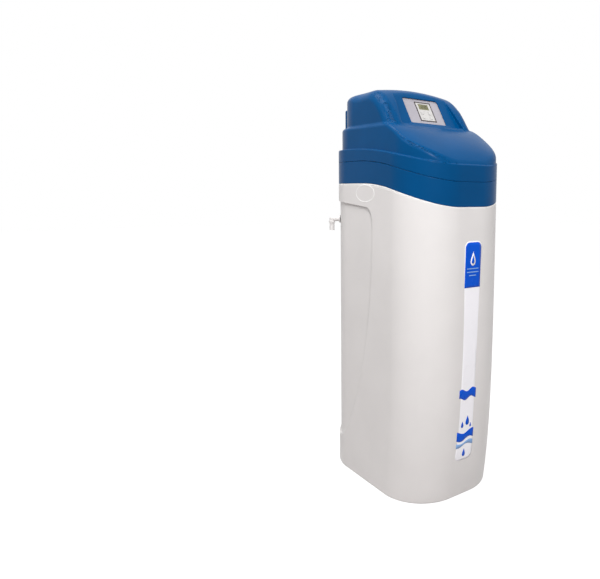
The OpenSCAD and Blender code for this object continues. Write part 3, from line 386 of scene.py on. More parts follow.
def outline_distance(loop, y, z):
    """Signed distance to a closed outline, positive inside."""
    a = np.asarray(loop, float)
    b = np.roll(a, -1, axis=0)
    near = np.full(y.shape, 1e9)
    inside = np.zeros(y.shape, bool)
    for (y0, z0), (y1, z1) in zip(a, b):
        dy, dz = y1 - y0, z1 - z0
        t = np.clip(((y - y0) * dy + (z - z0) * dz) / max(dy * dy + dz * dz, 1e-9), 0.0, 1.0)
        near = np.minimum(near, np.hypot(y - y0 - t * dy, z - z0 - t * dz))
        if abs(dz) > 1e-9:
            inside ^= ((z0 > z) != (z1 > z)) & (y < y0 + (z - z0) * dy / dz)
    return np.where(inside, near, -near)


RECESS_LOOP = np.vstack([
    [(RECESS_REAR, RECESS_TOP)], bezier(RECESS_CORNER, 16), bezier(RECESS_EDGE, 30)[1:],
    bezier(RECESS_BOTTOM, 20)[1:],
])


def recess_push(y, z):
    """How far the wall is pressed in: a crisp edge above that softens lower down."""
    softer = smoothstep((STEP_HIGH - z) / STEP_HIGH_RUN) * smoothstep((z - STEP_LOW) / STEP_LOW_RUN)
    return RECESS_DEPTH * smoothstep(outline_distance(RECESS_LOOP, y, z) / (STEP_WIDTH + STEP_MORE * softer))


def wall_rows(base, out, profile):
    """Rows of wall points from heights and insets: high rows follow the rim and the recess's top."""
    rows = []
    flat_y = base[:, 1] + out[:, 1] * CORNER_R
    rim = edge_z(RIM, flat_y)
    forward = np.clip((RECESS_REAR - flat_y) / (RECESS_REAR - CORNER_Y), 0.0, 1.0)
    fade = smoothstep((flat_y - FADE_Y) / FADE_RUN)
    tucked = np.clip((ARC_Y - base[:, 1]) / (2 * ARC_Y), 0.0, 1.0)
    for z, inset in profile:
        level = np.where(z > SPLIT_Z, SPLIT_Z + (z - SPLIT_Z) * (rim - SPLIT_Z) / (RIM_Z - SPLIT_Z), z)
        share = np.interp(z, [SPLIT_Z, RECESS_TOP, RIM_Z - RIM_BAND], [0.0, 1.0, 0.0])
        level = level - share * RECESS_FALL * forward * fade
        back = front_tuck(level) * tucked
        r = CORNER_R - inset - recess_push(flat_y + back, level)
        rows.append(np.column_stack([base[:, 0] + out[:, 0] * r, base[:, 1] + out[:, 1] * r + back, level]))
    return rows


def spaced(start, end, step):
    """Places from a start up to an end, which is left out, about a step apart."""
    count = max(1, round((end - start) / step))
    return [start + (end - start) * i / count for i in range(count)]


def outer_profile():
    """Heights and insets of the outer wall, from the foot to the rim."""
    heights = [z for stretch in OUTER_ROWS for z in spaced(*stretch)]
    heights += [RECESS_TOP + d for d in RECESS_TOP_ROWS] + spaced(*BAND_ROWS)
    return FOOT_PROFILE + [(z, 0.0) for z in heights] + [(RIM_Z + d, inset) for d, inset in RIM_PROFILE]


def inner_profile():
    """Heights and insets of the inner wall, from the rim down to the floor."""
    edge = [(RIM_Z, WALL - INNER_EDGE), (RIM_Z - INNER_EDGE, WALL)]
    wall = [(z, WALL) for stretch in INNER_ROWS for z in spaced(*stretch)]
    foot = [(FLOOR_T + FILLET, WALL), (FLOOR_T + FILLET_MID, WALL + FILLET_MID), (FLOOR_T, WALL + FILLET)]
    return edge + wall + foot


def build_cabinet():
    base, out = plan_columns(*CABINET_COLUMNS)
    cols = len(base)
    under = wall_rows(base, out, UNDERSIDE)
    for row, (z, _) in zip(under, UNDERSIDE):
        row[:, 2] = z
    outer = wall_rows(base, out, outer_profile())
    rows = under + outer + wall_rows(base, out, inner_profile())
    faces = grid_faces(len(rows), cols, True)
    faces.append(tuple(range(cols - 1, -1, -1)))
    last = (len(rows) - 1) * cols
    faces.append(tuple(range(last, last + cols)))
    obj = mesh_piece("cabinet_moulding", np.vstack(rows), faces, "cabinet", MATERIALS["white_plastic"],
                     ("cabinet_shell",), sharp=CABINET_SHARP)
    obj.data.materials.append(HIGHLIGHT_WHITE)
    # The bead rows under the rim take the paler white, as a painted highlight line
    end = len(under) + len(outer) - 1
    start = end + 1 - len(RIM_PROFILE) + RIM_GROOVE_ROWS
    for face in range(start * cols, end * cols):
        obj.data.polygons[face].material_index = 1


build_cabinet()

# Collar: a ring of one closed profile, cut down at the rear for the plumbing

COLLAR_COLUMNS = (12, 48, 40)
COLLAR_SHARP = 40
# Plan columns closer than this to an end of the notch are left out
NOTCH_CLEAR = 1.2
# Inset, edge line and rise above that line
COLLAR_PROFILE = [
    (0.9, RIM, 0.0), (0.3, RIM, 0.3), (0.0, RIM, 0.9), (0.0, RIM, 2.0), (0.0, SEAM, -2.0), (0.0, SEAM, -1.1),
    (0.3, SEAM, -0.4), (1.1, SEAM, 0.0), (3.8, SEAM, 0.0), (3.8, SEAM, 11.3), (4.3, SEAM, 12.0),
    (6.3, SEAM, 12.0), (6.8, SEAM, 11.5), (6.8, SEAM, 0.0), (8.5, SEAM, 0.0), (9.0, SEAM, -0.5),
    (9.0, RIM, 0.5), (8.6, RIM, 0.0), (8.3, RIM, 0.0), (8.3, RIM, -24.5), (7.8, RIM, -25.0),
    (5.3, RIM, -25.0), (4.8, RIM, -24.5), (4.8, RIM, 0.0),
]


def collar_columns():
    """The plan's columns, with two at each end of the notch: one at full height and one cut down."""
    base, out = plan_columns(*COLLAR_COLUMNS)
    turn = math.acos((NOTCH_HALF - ARC_X) / CORNER_R)
    x_out = base[:, 0] + out[:, 0] * CORNER_R
    behind = (base[:, 1] > 0) & (out[:, 1] > 0)
    columns = []
    for b, o, x, rear in zip(base, out, x_out, behind):
        near = rear and abs(abs(x) - NOTCH_HALF) < NOTCH_CLEAR
        if not near:
            columns.append((b, o, rear and abs(x) < NOTCH_HALF, None))
    for side in (1, -1):
        b = np.array([side * ARC_X, ARC_Y])
        o = np.array([side * math.cos(turn), math.sin(turn)])
        for cut in (False, True):
            columns.append((b, o, cut, side))

    def order(column):
        b, o, cut, side = column
        x, y = b + o * CORNER_R
        lean = 0.0 if side is None else (1e-4 if cut else -1e-4) * side
        return math.atan2(y, x) + lean

    return sorted(columns, key=order)


def build_collar():
    columns = collar_columns()
    points = []
    for inset, line, rise in COLLAR_PROFILE:
        r = CORNER_R - inset
        for b, o, cut, side in columns:
            x, y = b + o * r
            if side is not None:
                x = side * NOTCH_HALF
                y = ARC_Y + math.sqrt(r * r - (NOTCH_HALF - ARC_X) ** 2)
            z = float(edge_z(line, y)) + rise
            points.append((x, y, min(z, COLLAR_NOTCH_Z) if cut else z))
    n = len(points)
    faces = [tuple(i % n for i in f) for f in grid_faces(len(COLLAR_PROFILE) + 1, len(columns), True)]
    mesh_piece("collar_moulding", points, faces, "cabinet", MATERIALS["blue_plastic"],
               ("top_collar",), sharp=COLLAR_SHARP)


build_collar()

# Cover: one smooth distance field, made into a closed mesh with exact normals

COVER_WALL = 3.5
COVER_GAP = 0.3
BAND_ROUND, BAND_BLEND = 2.5, 1.6
SEAM_ROUND, NOTCH_ROUND = 0.8, 0.9
# Lid: a curve from the front's foot to the hump, crowned across, with its own insets and rounded edge
LID_FOOT = np.array([-241.0, 905.0])
LID_HEAD = np.array([-76.0, 1015.0])
LID_RUN = LID_HEAD - LID_FOOT
LID_SLOPE = math.atan2(LID_RUN[1], LID_RUN[0])
LID = [LID_FOOT, LID_FOOT + LID_RUN * [0.21, 0.455], LID_FOOT + LID_RUN * [0.62, 0.86], LID_HEAD]
LID_SIDE, LID_FRONT, LID_REAR = 8.0, 1.0, 14.0
LID_ROUND, LID_BLEND = 10.0, 5.0
CROWN_R = 700.0
CROWN_BULGE = 21.0
CROWN_BLEND = 9.0
# Hump: a curve from front to rear, lower towards the sides, with edges that are tighter at the rear
HUMP_FRONT = [(-90, 1006), (-58, 1057), (-24, 1127), (30, TOP_Z)]
HUMP_BACK = (212, 1117)
HUMP_STEP, HUMP_REAR_STEP = 16.0, 34.0
HUMP_CORNER, HUMP_REAR_CORNER = 34.0, 20.0
TURN_Y, TURN_RUN = 60.0, 90.0
HUMP_ARCH, ARCH_FOOT, ARCH_RUN = 19.0, 1035.0, 90.0
# Fascia: a plane that touches the front curve of the part's plain hump; v runs up along it and w out of it
PLAIN_Y = HALF_D - 322.0
PLAIN_HUMP = [
    (PLAIN_Y, SHOULDER_Z - 10.0), (PLAIN_Y + 21.0, SHOULDER_Z + 0.4 * (TOP_Z - SHOULDER_Z)),
    (PLAIN_Y + 48.0, TOP_Z - 2.0), (PLAIN_Y + 121.0, TOP_Z),
]
FASCIA_AT = 0.375
(FASCIA_Y, FASCIA_Z), (FASCIA_COS, FASCIA_SIN) = curve_at(PLAIN_HUMP, FASCIA_AT)
FASCIA_DEPTH = 11.0
FASCIA_BASE, FASCIA_TOP = 112.0, 88.0
FASCIA_FALL, FASCIA_RISE = -58.0, 70.0
FASCIA_ROUND = 2.5
# Half width, half height and corner radius of the window
WINDOW = (63.0, 44.0, 8.0)
WINDOW_SHIFT, WINDOW_CUT, WINDOW_ROUND = -2.0, 26.0, 2.4
LIP_HALF, LIP_V, LIP_W, LIP_R = 66.0, -56.0, -11.0, 9.0
LIP_BLEND = 3.0
PILLAR_X, PILLAR_R, PILLAR_SINK, PILLAR_LEAN = 121.0, 20.0, 18.0, 0.14
PILLAR_LOW, PILLAR_HIGH = -58.0, 6.0
PILLAR_BLEND = 8.0
# Rib at the hump's rear
RIB_TOP = 1080.0
RIB_FRONT = NOTCH_FRONT - 30.0
RIB_SIDE, RIB_REAR, RIB_CORNER = 10.0, 9.0, CORNER_R - 16.0
RIB_ROUND, RIB_END_ROUND, RIB_BLEND = 5.0, 4.0, 4.0
# Mesh of the field
GRID = 2.0
NET_SIDE, NET_END, NET_BELOW = 2.0, 3.0, 4.0
CURVE_STEPS = 800
CURVE_REACH = 400.0
SLOPE_STEP = 0.05
SETTLE_ROUNDS = 2
LEAST_SLOPE, MOST_MOVE = 0.3, 0.5
EVEN_SHARE = 0.5


def curve_table(points, before, after):
    """A height curve as a table: places, heights and slopes, carried on straight at both ends."""
    p = np.asarray(points, float)
    first = p[0] + np.array([-CURVE_REACH, -CURVE_REACH * before])
    last = p[-1] + np.array([CURVE_REACH, CURVE_REACH * after])
    p = np.vstack([first, p, last])
    p = p[np.r_[True, np.diff(p[:, 0]) > 1e-6]]
    return p[:, 0], p[:, 1], np.gradient(p[:, 1], p[:, 0])


LID_TABLE = curve_table(np.vstack([bezier(LID, CURVE_STEPS), [(HALF_D, SHOULDER_Z)]]), before=2.0, after=0.0)
HUMP_TABLE = curve_table(np.vstack([bezier(HUMP_FRONT, CURVE_STEPS), [HUMP_BACK]]), before=2.0, after=-0.2)


def above(table, place, z):
    """Rough distance above a height curve."""
    at, height, slope = table
    return (z - np.interp(place, at, height)) / np.sqrt(1.0 + np.interp(place, at, slope) ** 2)


def above_edge(line, y, z):
    """Rough distance above an edge line."""
    return (z - edge_z(line, y)) / np.sqrt(1.0 + edge_slope(line, y) ** 2)


def round_max(a, b, r):
    """Common part of two fields, with its edge rounded."""
    return np.minimum(-r, np.maximum(a, b)) + np.hypot(np.maximum(a + r, 0.0), np.maximum(b + r, 0.0))


def round_min(a, b, r):
    """Two fields joined, with a fillet between them."""
    return np.maximum(r, np.minimum(a, b)) - np.hypot(np.maximum(r - a, 0.0), np.maximum(r - b, 0.0))


def smooth_max(a, b, k):
    """Common part of two fields that blend into each other."""
    return np.maximum(a, b) + k / 4 * np.maximum(1.0 - np.abs(a - b) / k, 0.0) ** 2


def corner_field(dx, dy, r):
    """Distance to a rounded corner, from the distances past its centre."""
    return np.hypot(np.maximum(dx, 0.0), np.maximum(dy, 0.0)) + np.minimum(np.maximum(dx, dy), 0.0) - r


def plan_field(x, y, side, front, rear, r):
    """Distance to a rounded plan outline with its own insets."""
    mid = (front - rear) / 2
    dx = x - (HALF_W - side - r)
    dy = np.abs(y - mid) - (HALF_D - (front + rear) / 2 - r)
    return corner_field(dx, dy, r)


def box_field(x, y, half_x, half_y, r):
    """Distance to a rounded rectangle."""
    return corner_field(np.abs(x) - half_x + r, np.abs(y) - half_y + r, r)


def lid_field(x, y, z):
    """The sloping lid and the sides under it."""
    rise = -math.sin(LID_SLOPE) * (y - LID_FOOT[0]) + math.cos(LID_SLOPE) * (z - LID_FOOT[1])
    crown = np.hypot(x, rise + CROWN_R - CROWN_BULGE) - CROWN_R
    lid = smooth_max(above(LID_TABLE, y, z), crown, CROWN_BLEND)
    return round_max(plan_field(x, y, LID_SIDE, LID_FRONT, LID_REAR, CORNER_R - LID_SIDE), lid, LID_ROUND)


def pillar_field(x, v, w):
    """A round pillar beside the fascia, leaning back into the hump."""
    along = np.maximum(np.maximum(PILLAR_LOW - v, v - PILLAR_HIGH), 0.0)
    sink = PILLAR_SINK + PILLAR_LEAN * np.maximum(v - PILLAR_LOW, 0.0)
    return np.sqrt((x - PILLAR_X) ** 2 + (w + sink) ** 2 + along ** 2) - PILLAR_R


def fascia_field(x, v, w):
    """The space cut away in front of the fascia, narrower at the top."""
    half = FASCIA_BASE + (FASCIA_TOP - FASCIA_BASE) * (v - FASCIA_FALL) / (FASCIA_RISE - FASCIA_FALL)
    ends = np.maximum(v - FASCIA_RISE, FASCIA_FALL - v)
    return np.maximum(np.maximum(x - half, -(w + FASCIA_DEPTH)), ends)


def hump_field(x, y, z, v, w):
    """The hump with its pillars, its fascia and the lip under the window."""
    arch = HUMP_ARCH * (x / HALF_W) ** 2 * smoothstep((z - ARCH_FOOT) / ARCH_RUN)
    turn = HUMP_CORNER + (HUMP_REAR_CORNER - HUMP_CORNER) * smoothstep((y - TURN_Y) / TURN_RUN)
    plan = plan_field(x, y, HUMP_STEP, 0.0, HUMP_REAR_STEP, CORNER_R - HUMP_STEP)
    hump = round_max(plan, above(HUMP_TABLE, y, z + arch), turn)
    hump = round_min(hump, pillar_field(x, v, w), PILLAR_BLEND)
    hump = round_max(hump, -fascia_field(x, v, w), FASCIA_ROUND)
    lip = np.hypot(np.maximum(x - LIP_HALF, 0.0), np.hypot(v - LIP_V, w - LIP_W)) - LIP_R
    return round_min(hump, lip, LIP_BLEND)


def rib_field(x, y, z):
    """The rib at the hump's rear."""
    rib = round_max(plan_field(x, y, RIB_SIDE, 0.0, RIB_REAR, RIB_CORNER), z - RIB_TOP, RIB_ROUND)
    return round_max(rib, np.maximum(x - NOTCH_HALF, RIB_FRONT - y), RIB_END_ROUND)


def cover_field(x, y, z):
    """The cover as a shell: negative in its wall."""
    x = np.abs(x)
    v = FASCIA_COS * (y - FASCIA_Y) + FASCIA_SIN * (z - FASCIA_Z)
    w = -FASCIA_SIN * (y - FASCIA_Y) + FASCIA_COS * (z - FASCIA_Z)
    band = round_max(plan_field(x, y, 0.0, 0.0, 0.0, CORNER_R), above_edge(LEDGE, y, z), BAND_ROUND)
    outer = round_min(hump_field(x, y, z, v, w), rib_field(x, y, z), RIB_BLEND)
    outer = round_min(round_min(outer, lid_field(x, y, z), LID_BLEND), band, BAND_BLEND)
    shell = np.maximum(outer, -(outer + COVER_WALL))
    shell = round_max(shell, COVER_GAP - above_edge(SEAM, y, z), SEAM_ROUND)
    notch = np.maximum(np.maximum(x - NOTCH_HALF, NOTCH_FRONT - y), z - COVER_NOTCH_Z)
    shell = round_max(shell, -notch, NOTCH_ROUND)
    hole = np.maximum(box_field(x, v - WINDOW_SHIFT, *WINDOW), -(w + WINDOW_CUT))
    return round_max(shell, -hole, WINDOW_ROUND)


def surface_net(field, lo, hi, step):
    """Quads of the zero surface of a field that is the same on both sides of the middle plane."""
    count = int(math.ceil(hi[0] / step)) + 1
    half_x = (np.arange(count) + 0.5) * step
    ys = np.arange(lo[1], hi[1] + step, step)
    zs = np.arange(lo[2], hi[2] + step, step)
    right = field(half_x[:, None, None], ys[None, :, None], zs[None, None, :])
    f = np.concatenate([right[::-1], right])
    inside = f < 0
    corners = [(i, j, k) for i in (0, 1) for j in (0, 1) for k in (0, 1)]
    shape = tuple(n - 1 for n in f.shape)
    axes = np.eye(3, dtype=int)

    def at(grid, o):
        return grid[o[0]:o[0] + shape[0], o[1]:o[1] + shape[1], o[2]:o[2] + shape[2]]

    total = sum(at(inside, o).astype(np.int8) for o in corners)
    cells = np.argwhere((total > 0) & (total < len(corners)))
    index = np.full(shape, -1, np.int64)
    index[tuple(cells.T)] = np.arange(len(cells))
    sums, hits = np.zeros((len(cells), 3)), np.zeros(len(cells))
    for axis, step_to in enumerate(axes):
        for o in corners:
            if o[axis]:
                continue
            a = f[tuple((cells + o).T)]
            b = f[tuple((cells + o + step_to).T)]
            cross = (a < 0) != (b < 0)
            t = np.where(cross, a / np.where(cross, a - b, 1.0), 0.0)
            sums += cross[:, None] * (np.array(o) + t[:, None] * step_to)
            hits += cross
    points = np.array([-half_x[-1], ys[0], zs[0]]) + (cells + sums / hits[:, None]) * step
    faces = []
    for axis in range(3):
        db, dc = axes[(axis + 1) % 3], axes[(axis + 2) % 3]
        first = inside[tuple(slice(0, n - (i == axis)) for i, n in enumerate(inside.shape))]
        second = inside[tuple(slice(int(i == axis), n) for i, n in enumerate(inside.shape))]
        edges = np.argwhere(first != second)
        ring = [edges - db * i - dc * j for i, j in ((1, 1), (0, 1), (0, 0), (1, 0))]
        around = np.stack([index[tuple(cell.T)] for cell in ring], 1)
        outward = first[tuple(edges.T)]
        around[~outward] = around[~outward][:, ::-1]
        faces.append(around)
    return points, np.vstack(faces)


def field_slope(field, p):
    """Slope of a field at points, from small steps along each axis."""
    h = SLOPE_STEP
    x, y, z = p.T
    rise = np.column_stack([
        field(x + h, y, z) - field(x - h, y, z),
        field(x, y + h, z) - field(x, y - h, z),
        field(x, y, z + h) - field(x, y, z - h),
    ])
    return rise / (2 * h)


def settle(field, p, step):
    """Moves points onto the zero surface, by no more than part of a grid step at a time."""
    for _ in range(SETTLE_ROUNDS):
        g = field_slope(field, p)
        size = np.maximum(np.linalg.norm(g, axis=1), LEAST_SLOPE)
        move = np.clip(field(*p.T) / size, -MOST_MOVE * step, MOST_MOVE * step)
        p = p - g / size[:, None] * move[:, None]
    return p


def relax(points, faces, share):
    """Evens the spacing of a quad mesh's points."""
    total, count = np.zeros_like(points), np.zeros(len(points))
    for i in range(4):
        a, b = faces[:, i], faces[:, (i + 1) % 4]
        np.add.at(total, a, points[b])
        np.add.at(count, a, 1)
        np.add.at(total, b, points[a])
        np.add.at(count, b, 1)
    return points + share * (total / count[:, None] - points)


def build_cover():
    lo = (-HALF_W, -HALF_D - NET_END, SEAM[0] - SEAM[1] - NET_BELOW)
    hi = (HALF_W + NET_SIDE, HALF_D + NET_END, TOP_Z + NET_END)
    points, faces = surface_net(cover_field, lo, hi, GRID)
    points = settle(cover_field, points, GRID)
    points = settle(cover_field, relax(points, faces, EVEN_SHARE), GRID)
    normals = field_slope(cover_field, points)
    normals /= np.maximum(np.linalg.norm(normals, axis=1), 1e-6)[:, None]
    mesh_piece("cover_moulding", points, faces, "cover", MATERIALS["blue_plastic"],
               ("cover_shell",), normals=normals)


build_cover()

# Label on the front: printed shapes in layers, each a little further out than the one below

LABEL_X = -4.0
LABEL_HALF = 31.0
LABEL_LEFT, LABEL_RIGHT = LABEL_X - LABEL_HALF, LABEL_X + LABEL_HALF
LABEL_LEAN = 0.02
LABEL_FOOT, LABEL_HEAD = 108.0, 708.0
LABEL_CORNER = 17.0
LABEL_EDGE = 3.0
LAYERS = (0.16, 0.26, 0.36, 0.46)
PRINT_SPACING, PRINT_MARGIN = 7.0, 0.3
BLOCK_FOOT, BLOCK_FOOT_CORNER = 585.0, 0.5
BLOCK_DROP_Z, BLOCK_DROP_R = 662.0, 13.0
BLOCK_CORE_Z, BLOCK_CORE_R = 659.0, 7.5
RULE_HALVES = (21.0, 21.0, 13.0)
RULE_Z, RULE_SPACING, RULE_HEIGHT, RULE_CORNER, RULE_ARC = 634.0, 9.0, 2.6, 1.2, 4
WAVE_INSET, WAVE_LAG = 0.6, 0.9
# Lower and upper height, swing, turns, shift and ink of each wave
WAVES = {
    "mid": (284.0, 308.0, 4.0, 1.5, 0.4, LABEL_BLUE),
    "high": (168.0, 190.0, 5.0, 1.0, 2.2, LABEL_BLUE),
    "low": (150.0, 160.0, 4.0, 1.0, 3.0, LABEL_PALE),
}
# Place across, height and radius of each small drop
DROPS = ((-17.0, 212.0, 6.5), (1.0, 221.0, 9.5), (13.0, 206.0, 4.5), (LABEL_X, 130.0, 8.0))
DROP_TALL, DROP_TAPER = 1.45, 1.6


def on_front(x, z, out):
    """A point on the cabinet's front, a little proud of it and leaning with the label."""
    x = x + LABEL_LEAN * (z - LABEL_FOOT)
    side = np.maximum(np.abs(x) - ARC_X, 0.0)
    y = -ARC_Y - np.sqrt((CORNER_R + out) ** 2 - side ** 2) + front_tuck(z)
    return np.column_stack([x, y, z])


def rounded_loop(x0, z0, x1, z1, r_low, r_high, n=10):
    """Outline of an upright rounded rectangle."""
    loop = []
    for cx, cz, r, start in ((x1 - r_low, z0 + r_low, r_low, -90), (x1 - r_high, z1 - r_high, r_high, 0),
                             (x0 + r_high, z1 - r_high, r_high, 90), (x0 + r_low, z0 + r_low, r_low, 180)):
        for i in range(n + 1):
            a = math.radians(start + 90 * i / n)
            loop.append((cx + r * math.cos(a), cz + r * math.sin(a)))
    return np.array(loop)


def drop_loop(x, z, r, n=28):
    """Outline of a water drop with its tip up."""
    loop = []
    for i in range(n):
        a = 2 * math.pi * i / n
        narrow = math.sin(a / 2) ** DROP_TAPER
        loop.append((x - r * math.sin(a) * narrow, z + r * DROP_TALL * math.cos(a)))
    return np.array(loop)


def wave_loop(x0, x1, z_low, z_high, swing, turns, shift, n=48):
    """Outline of a band between two sine waves."""
    xs = np.linspace(x0, x1, n + 1)
    bend = 2 * math.pi * turns * (xs - x0) / (x1 - x0) + shift
    top = np.column_stack([xs, z_high + swing * np.sin(bend)])
    low = np.column_stack([xs, z_low + swing * np.sin(bend + WAVE_LAG)])
    return np.vstack([low, top[::-1]])


def decal(name, loop, layer, material):
    """A thin printed piece inside an outline, laid on the cabinet's front."""
    loop = np.asarray(loop, float)
    loop = loop[np.r_[True, np.linalg.norm(np.diff(loop, axis=0), axis=1) > 1e-4]]
    n = len(loop)
    xs, zs = (np.arange(lo, hi, PRINT_SPACING) for lo, hi in zip(loop.min(0), loop.max(0)))
    inner = np.column_stack([grid.ravel() for grid in np.meshgrid(xs, zs)])
    inner = inner[outline_distance(loop, inner[:, 0], inner[:, 1]) > PRINT_SPACING * PRINT_MARGIN]
    flat = [Vector(p) for p in np.vstack([loop, inner])]
    made = delaunay_2d_cdt(flat, [(i, (i + 1) % n) for i in range(n)], [], 1, 1e-5)
    spots = np.array([tuple(v) for v in made[0]])
    film_piece(name, on_front(spots[:, 0], spots[:, 1], LAYERS[layer]), made[2], material)


def build_label():
    base = rounded_loop(LABEL_LEFT, LABEL_FOOT, LABEL_RIGHT, LABEL_HEAD, LABEL_CORNER, LABEL_CORNER)
    decal("label_base", base, 0, LABEL_WHITE)
    block = rounded_loop(LABEL_LEFT + LABEL_EDGE, BLOCK_FOOT, LABEL_RIGHT - LABEL_EDGE,
                         LABEL_HEAD - LABEL_EDGE, BLOCK_FOOT_CORNER, LABEL_CORNER - LABEL_EDGE)
    decal("label_block", block, 1, LABEL_BLUE)
    decal("label_drop", drop_loop(LABEL_X, BLOCK_DROP_Z, BLOCK_DROP_R), 2, LABEL_WHITE)
    decal("label_drop_core", drop_loop(LABEL_X, BLOCK_CORE_Z, BLOCK_CORE_R), 3, LABEL_BLUE)
    for i, half in enumerate(RULE_HALVES):
        z = RULE_Z - RULE_SPACING * i
        rule = rounded_loop(LABEL_X - half, z, LABEL_X + half, z + RULE_HEIGHT,
                            RULE_CORNER, RULE_CORNER, RULE_ARC)
        decal(f"label_rule_{i + 1}", rule, 2, LABEL_PALE)
    for name, (*wave, ink) in WAVES.items():
        band = wave_loop(LABEL_LEFT + WAVE_INSET, LABEL_RIGHT - WAVE_INSET, *wave)
        decal(f"label_wave_{name}", band, 1, ink)
    for i, drop in enumerate(DROPS):
        decal(f"label_bead_{i + 1}", drop_loop(*drop), 1, LABEL_BLUE)


build_label()

# Sticker round the right rear corner: lengths along the plan from the side's rear end, and heights

STICKER = (-13.0, 34.0, 834.0, 850.0)
STICKER_SQUARE = (24.0, 31.0, 837.0, 847.0)
BAR_START, BAR_ENDS = -9.0, (14.0, 22.0, 6.0)
BAR_Z, BAR_SPACING, BAR_HEIGHT = 845.0, 4.0, 1.4
STICKER_OUT, STICKER_PRINT_OUT = 0.12, 0.2
PATCH_STEP, PATCH_ROWS = 2.0, 4


def on_side(s, z, out):
    """A point on the right side by its length along the plan, proud of it."""
    turn = np.maximum(s, 0.0) / CORNER_R
    r = CORNER_R + out
    return np.column_stack([ARC_X + r * np.cos(turn), ARC_Y + np.minimum(s, 0.0) + r * np.sin(turn), z])


def side_patch(name, s0, s1, z0, z1, out, material):
    """A thin rectangle that bends round the right rear corner."""
    cols = max(2, int((s1 - s0) / PATCH_STEP) + 1)
    s, z = np.meshgrid(np.linspace(s0, s1, cols), np.linspace(z0, z1, PATCH_ROWS))
    film_piece(name, on_side(s.ravel(), z.ravel(), out), grid_faces(PATCH_ROWS, cols, False), material)


def build_sticker():
    side_patch("sticker_base", *STICKER, STICKER_OUT, STICKER_WHITE)
    for i, end in enumerate(BAR_ENDS):
        z = BAR_Z - BAR_SPACING * i
        side_patch(f"sticker_bar_{i + 1}", BAR_START, end, z - BAR_HEIGHT, z, STICKER_PRINT_OUT, STICKER_GREY)
    side_patch("sticker_square", *STICKER_SQUARE, STICKER_PRINT_OUT, STICKER_GREY)


build_sticker()

# Raised ovals on the cabinet's sides

OVAL_MID = np.array([9.0, 829.0])
OVAL_HALF = np.array([45.0, 23.0])
OVAL_WIDE, OVAL_HIGH, OVAL_SUNK = 2.3, 1.5, 1.05
OVAL_TURNS, OVAL_AROUND = 96, 10


def build_oval(name, side):
    """A low raised oval band on a side of the cabinet."""
    points = []
    for i in range(OVAL_TURNS):
        a = 2 * math.pi * i / OVAL_TURNS
        turn = np.array([math.cos(a), math.sin(a)])
        away = turn / OVAL_HALF
        away /= np.linalg.norm(away)
        for j in range(OVAL_AROUND):
            b = 2 * math.pi * j / OVAL_AROUND
            y, z = OVAL_MID + OVAL_HALF * turn + away * OVAL_WIDE * math.cos(b)
            points.append((side * (HALF_W - OVAL_SUNK + OVAL_HIGH * math.sin(b)), y, z))
    n = len(points)
    faces = [tuple(i % n for i in f) for f in grid_faces(OVAL_TURNS + 1, OVAL_AROUND, True)]
    if side > 0:
        faces = [f[::-1] for f in faces]
    # The oval takes the paler white, a painted highlight that makes it read as a light ring
    mesh_piece(name, points, faces, "cabinet", HIGHLIGHT_WHITE)


build_oval("oval_right", 1)
build_oval("oval_left", -1)

# Figures on the screen: seven bars each, lit as a plain time of day

PANEL_DEPTH = 15.0
SCREEN_MID = (6.0, 18.0)
SCREEN_SUNK = 0.6
BARS = {"1": "bc", "2": "abged", "3": "abgcd", "0": "abcdef"}
FIGURES, FIGURE_PLACES = "1230", (-11.0, -4.0, 4.0, 11.0)
FIGURE_WIDE, FIGURE_HIGH, BAR = 4.6, 9.0, 1.0
COLON_HALF = 2.2
FIGURE_BACK, FIGURE_FACE = -0.02, 0.06
FIGURE_SHARP = 30


def on_fascia(u, v, w):
    """A point given by its place across, up and out from the fascia's plane."""
    return (u, FASCIA_Y + FASCIA_COS * v - FASCIA_SIN * w, FASCIA_Z + FASCIA_SIN * v + FASCIA_COS * w)


def figure_blocks():
    """Middle, width and height of each lit bar and of the colon's dots."""
    spots = {"a": (0, FIGURE_HIGH / 2, FIGURE_WIDE, BAR), "g": (0, 0, FIGURE_WIDE, BAR),
             "d": (0, -FIGURE_HIGH / 2, FIGURE_WIDE, BAR)}
    for key, sx, sz in (("f", -1, 1), ("b", 1, 1), ("e", -1, -1), ("c", 1, -1)):
        spots[key] = (sx * FIGURE_WIDE / 2, sz * FIGURE_HIGH / 4, BAR, FIGURE_HIGH / 2 - BAR)
    blocks = []
    for figure, place in zip(FIGURES, FIGURE_PLACES):
        blocks += [(place + spots[k][0], *spots[k][1:]) for k in BARS[figure]]
    return blocks + [(0.0, COLON_HALF, BAR, BAR), (0.0, -COLON_HALF, BAR, BAR)]


def build_figures():
    """Bars of four figures and a colon, as thin raised blocks."""
    points, faces = [], []
    for u, v, wide, high in figure_blocks():
        n = len(points)
        for out in (FIGURE_BACK, FIGURE_FACE):
            for du, dv in ((-1, -1), (1, -1), (1, 1), (-1, 1)):
                points.append(on_fascia(SCREEN_MID[0] + u + du * wide / 2, SCREEN_MID[1] + v + dv * high / 2,
                                        out - PANEL_DEPTH - SCREEN_SUNK))
        faces += [(n + 4, n + 5, n + 6, n + 7)]
        faces += [(n + i, n + (i + 1) % 4, n + 4 + (i + 1) % 4, n + 4 + i) for i in range(4)]
    mesh_piece("screen_figures", points, faces, "cabinet", INK_DARK, sharp=FIGURE_SHARP)


build_figures()

# Finishes of the solids that keep their own shape

NO_BEVEL = {"resin_bed", "main_gear", "motor_pinion", "turbine", "bore_seals"}
FINE_EDGE = {"display_frame", "keypad", "screen", "button_1", "button_2", "button_3", "button_4"}
EDGE_WIDTH, FINE_WIDTH = 0.7, 0.25
EDGE_ANGLE = 40
WELD = 0.02


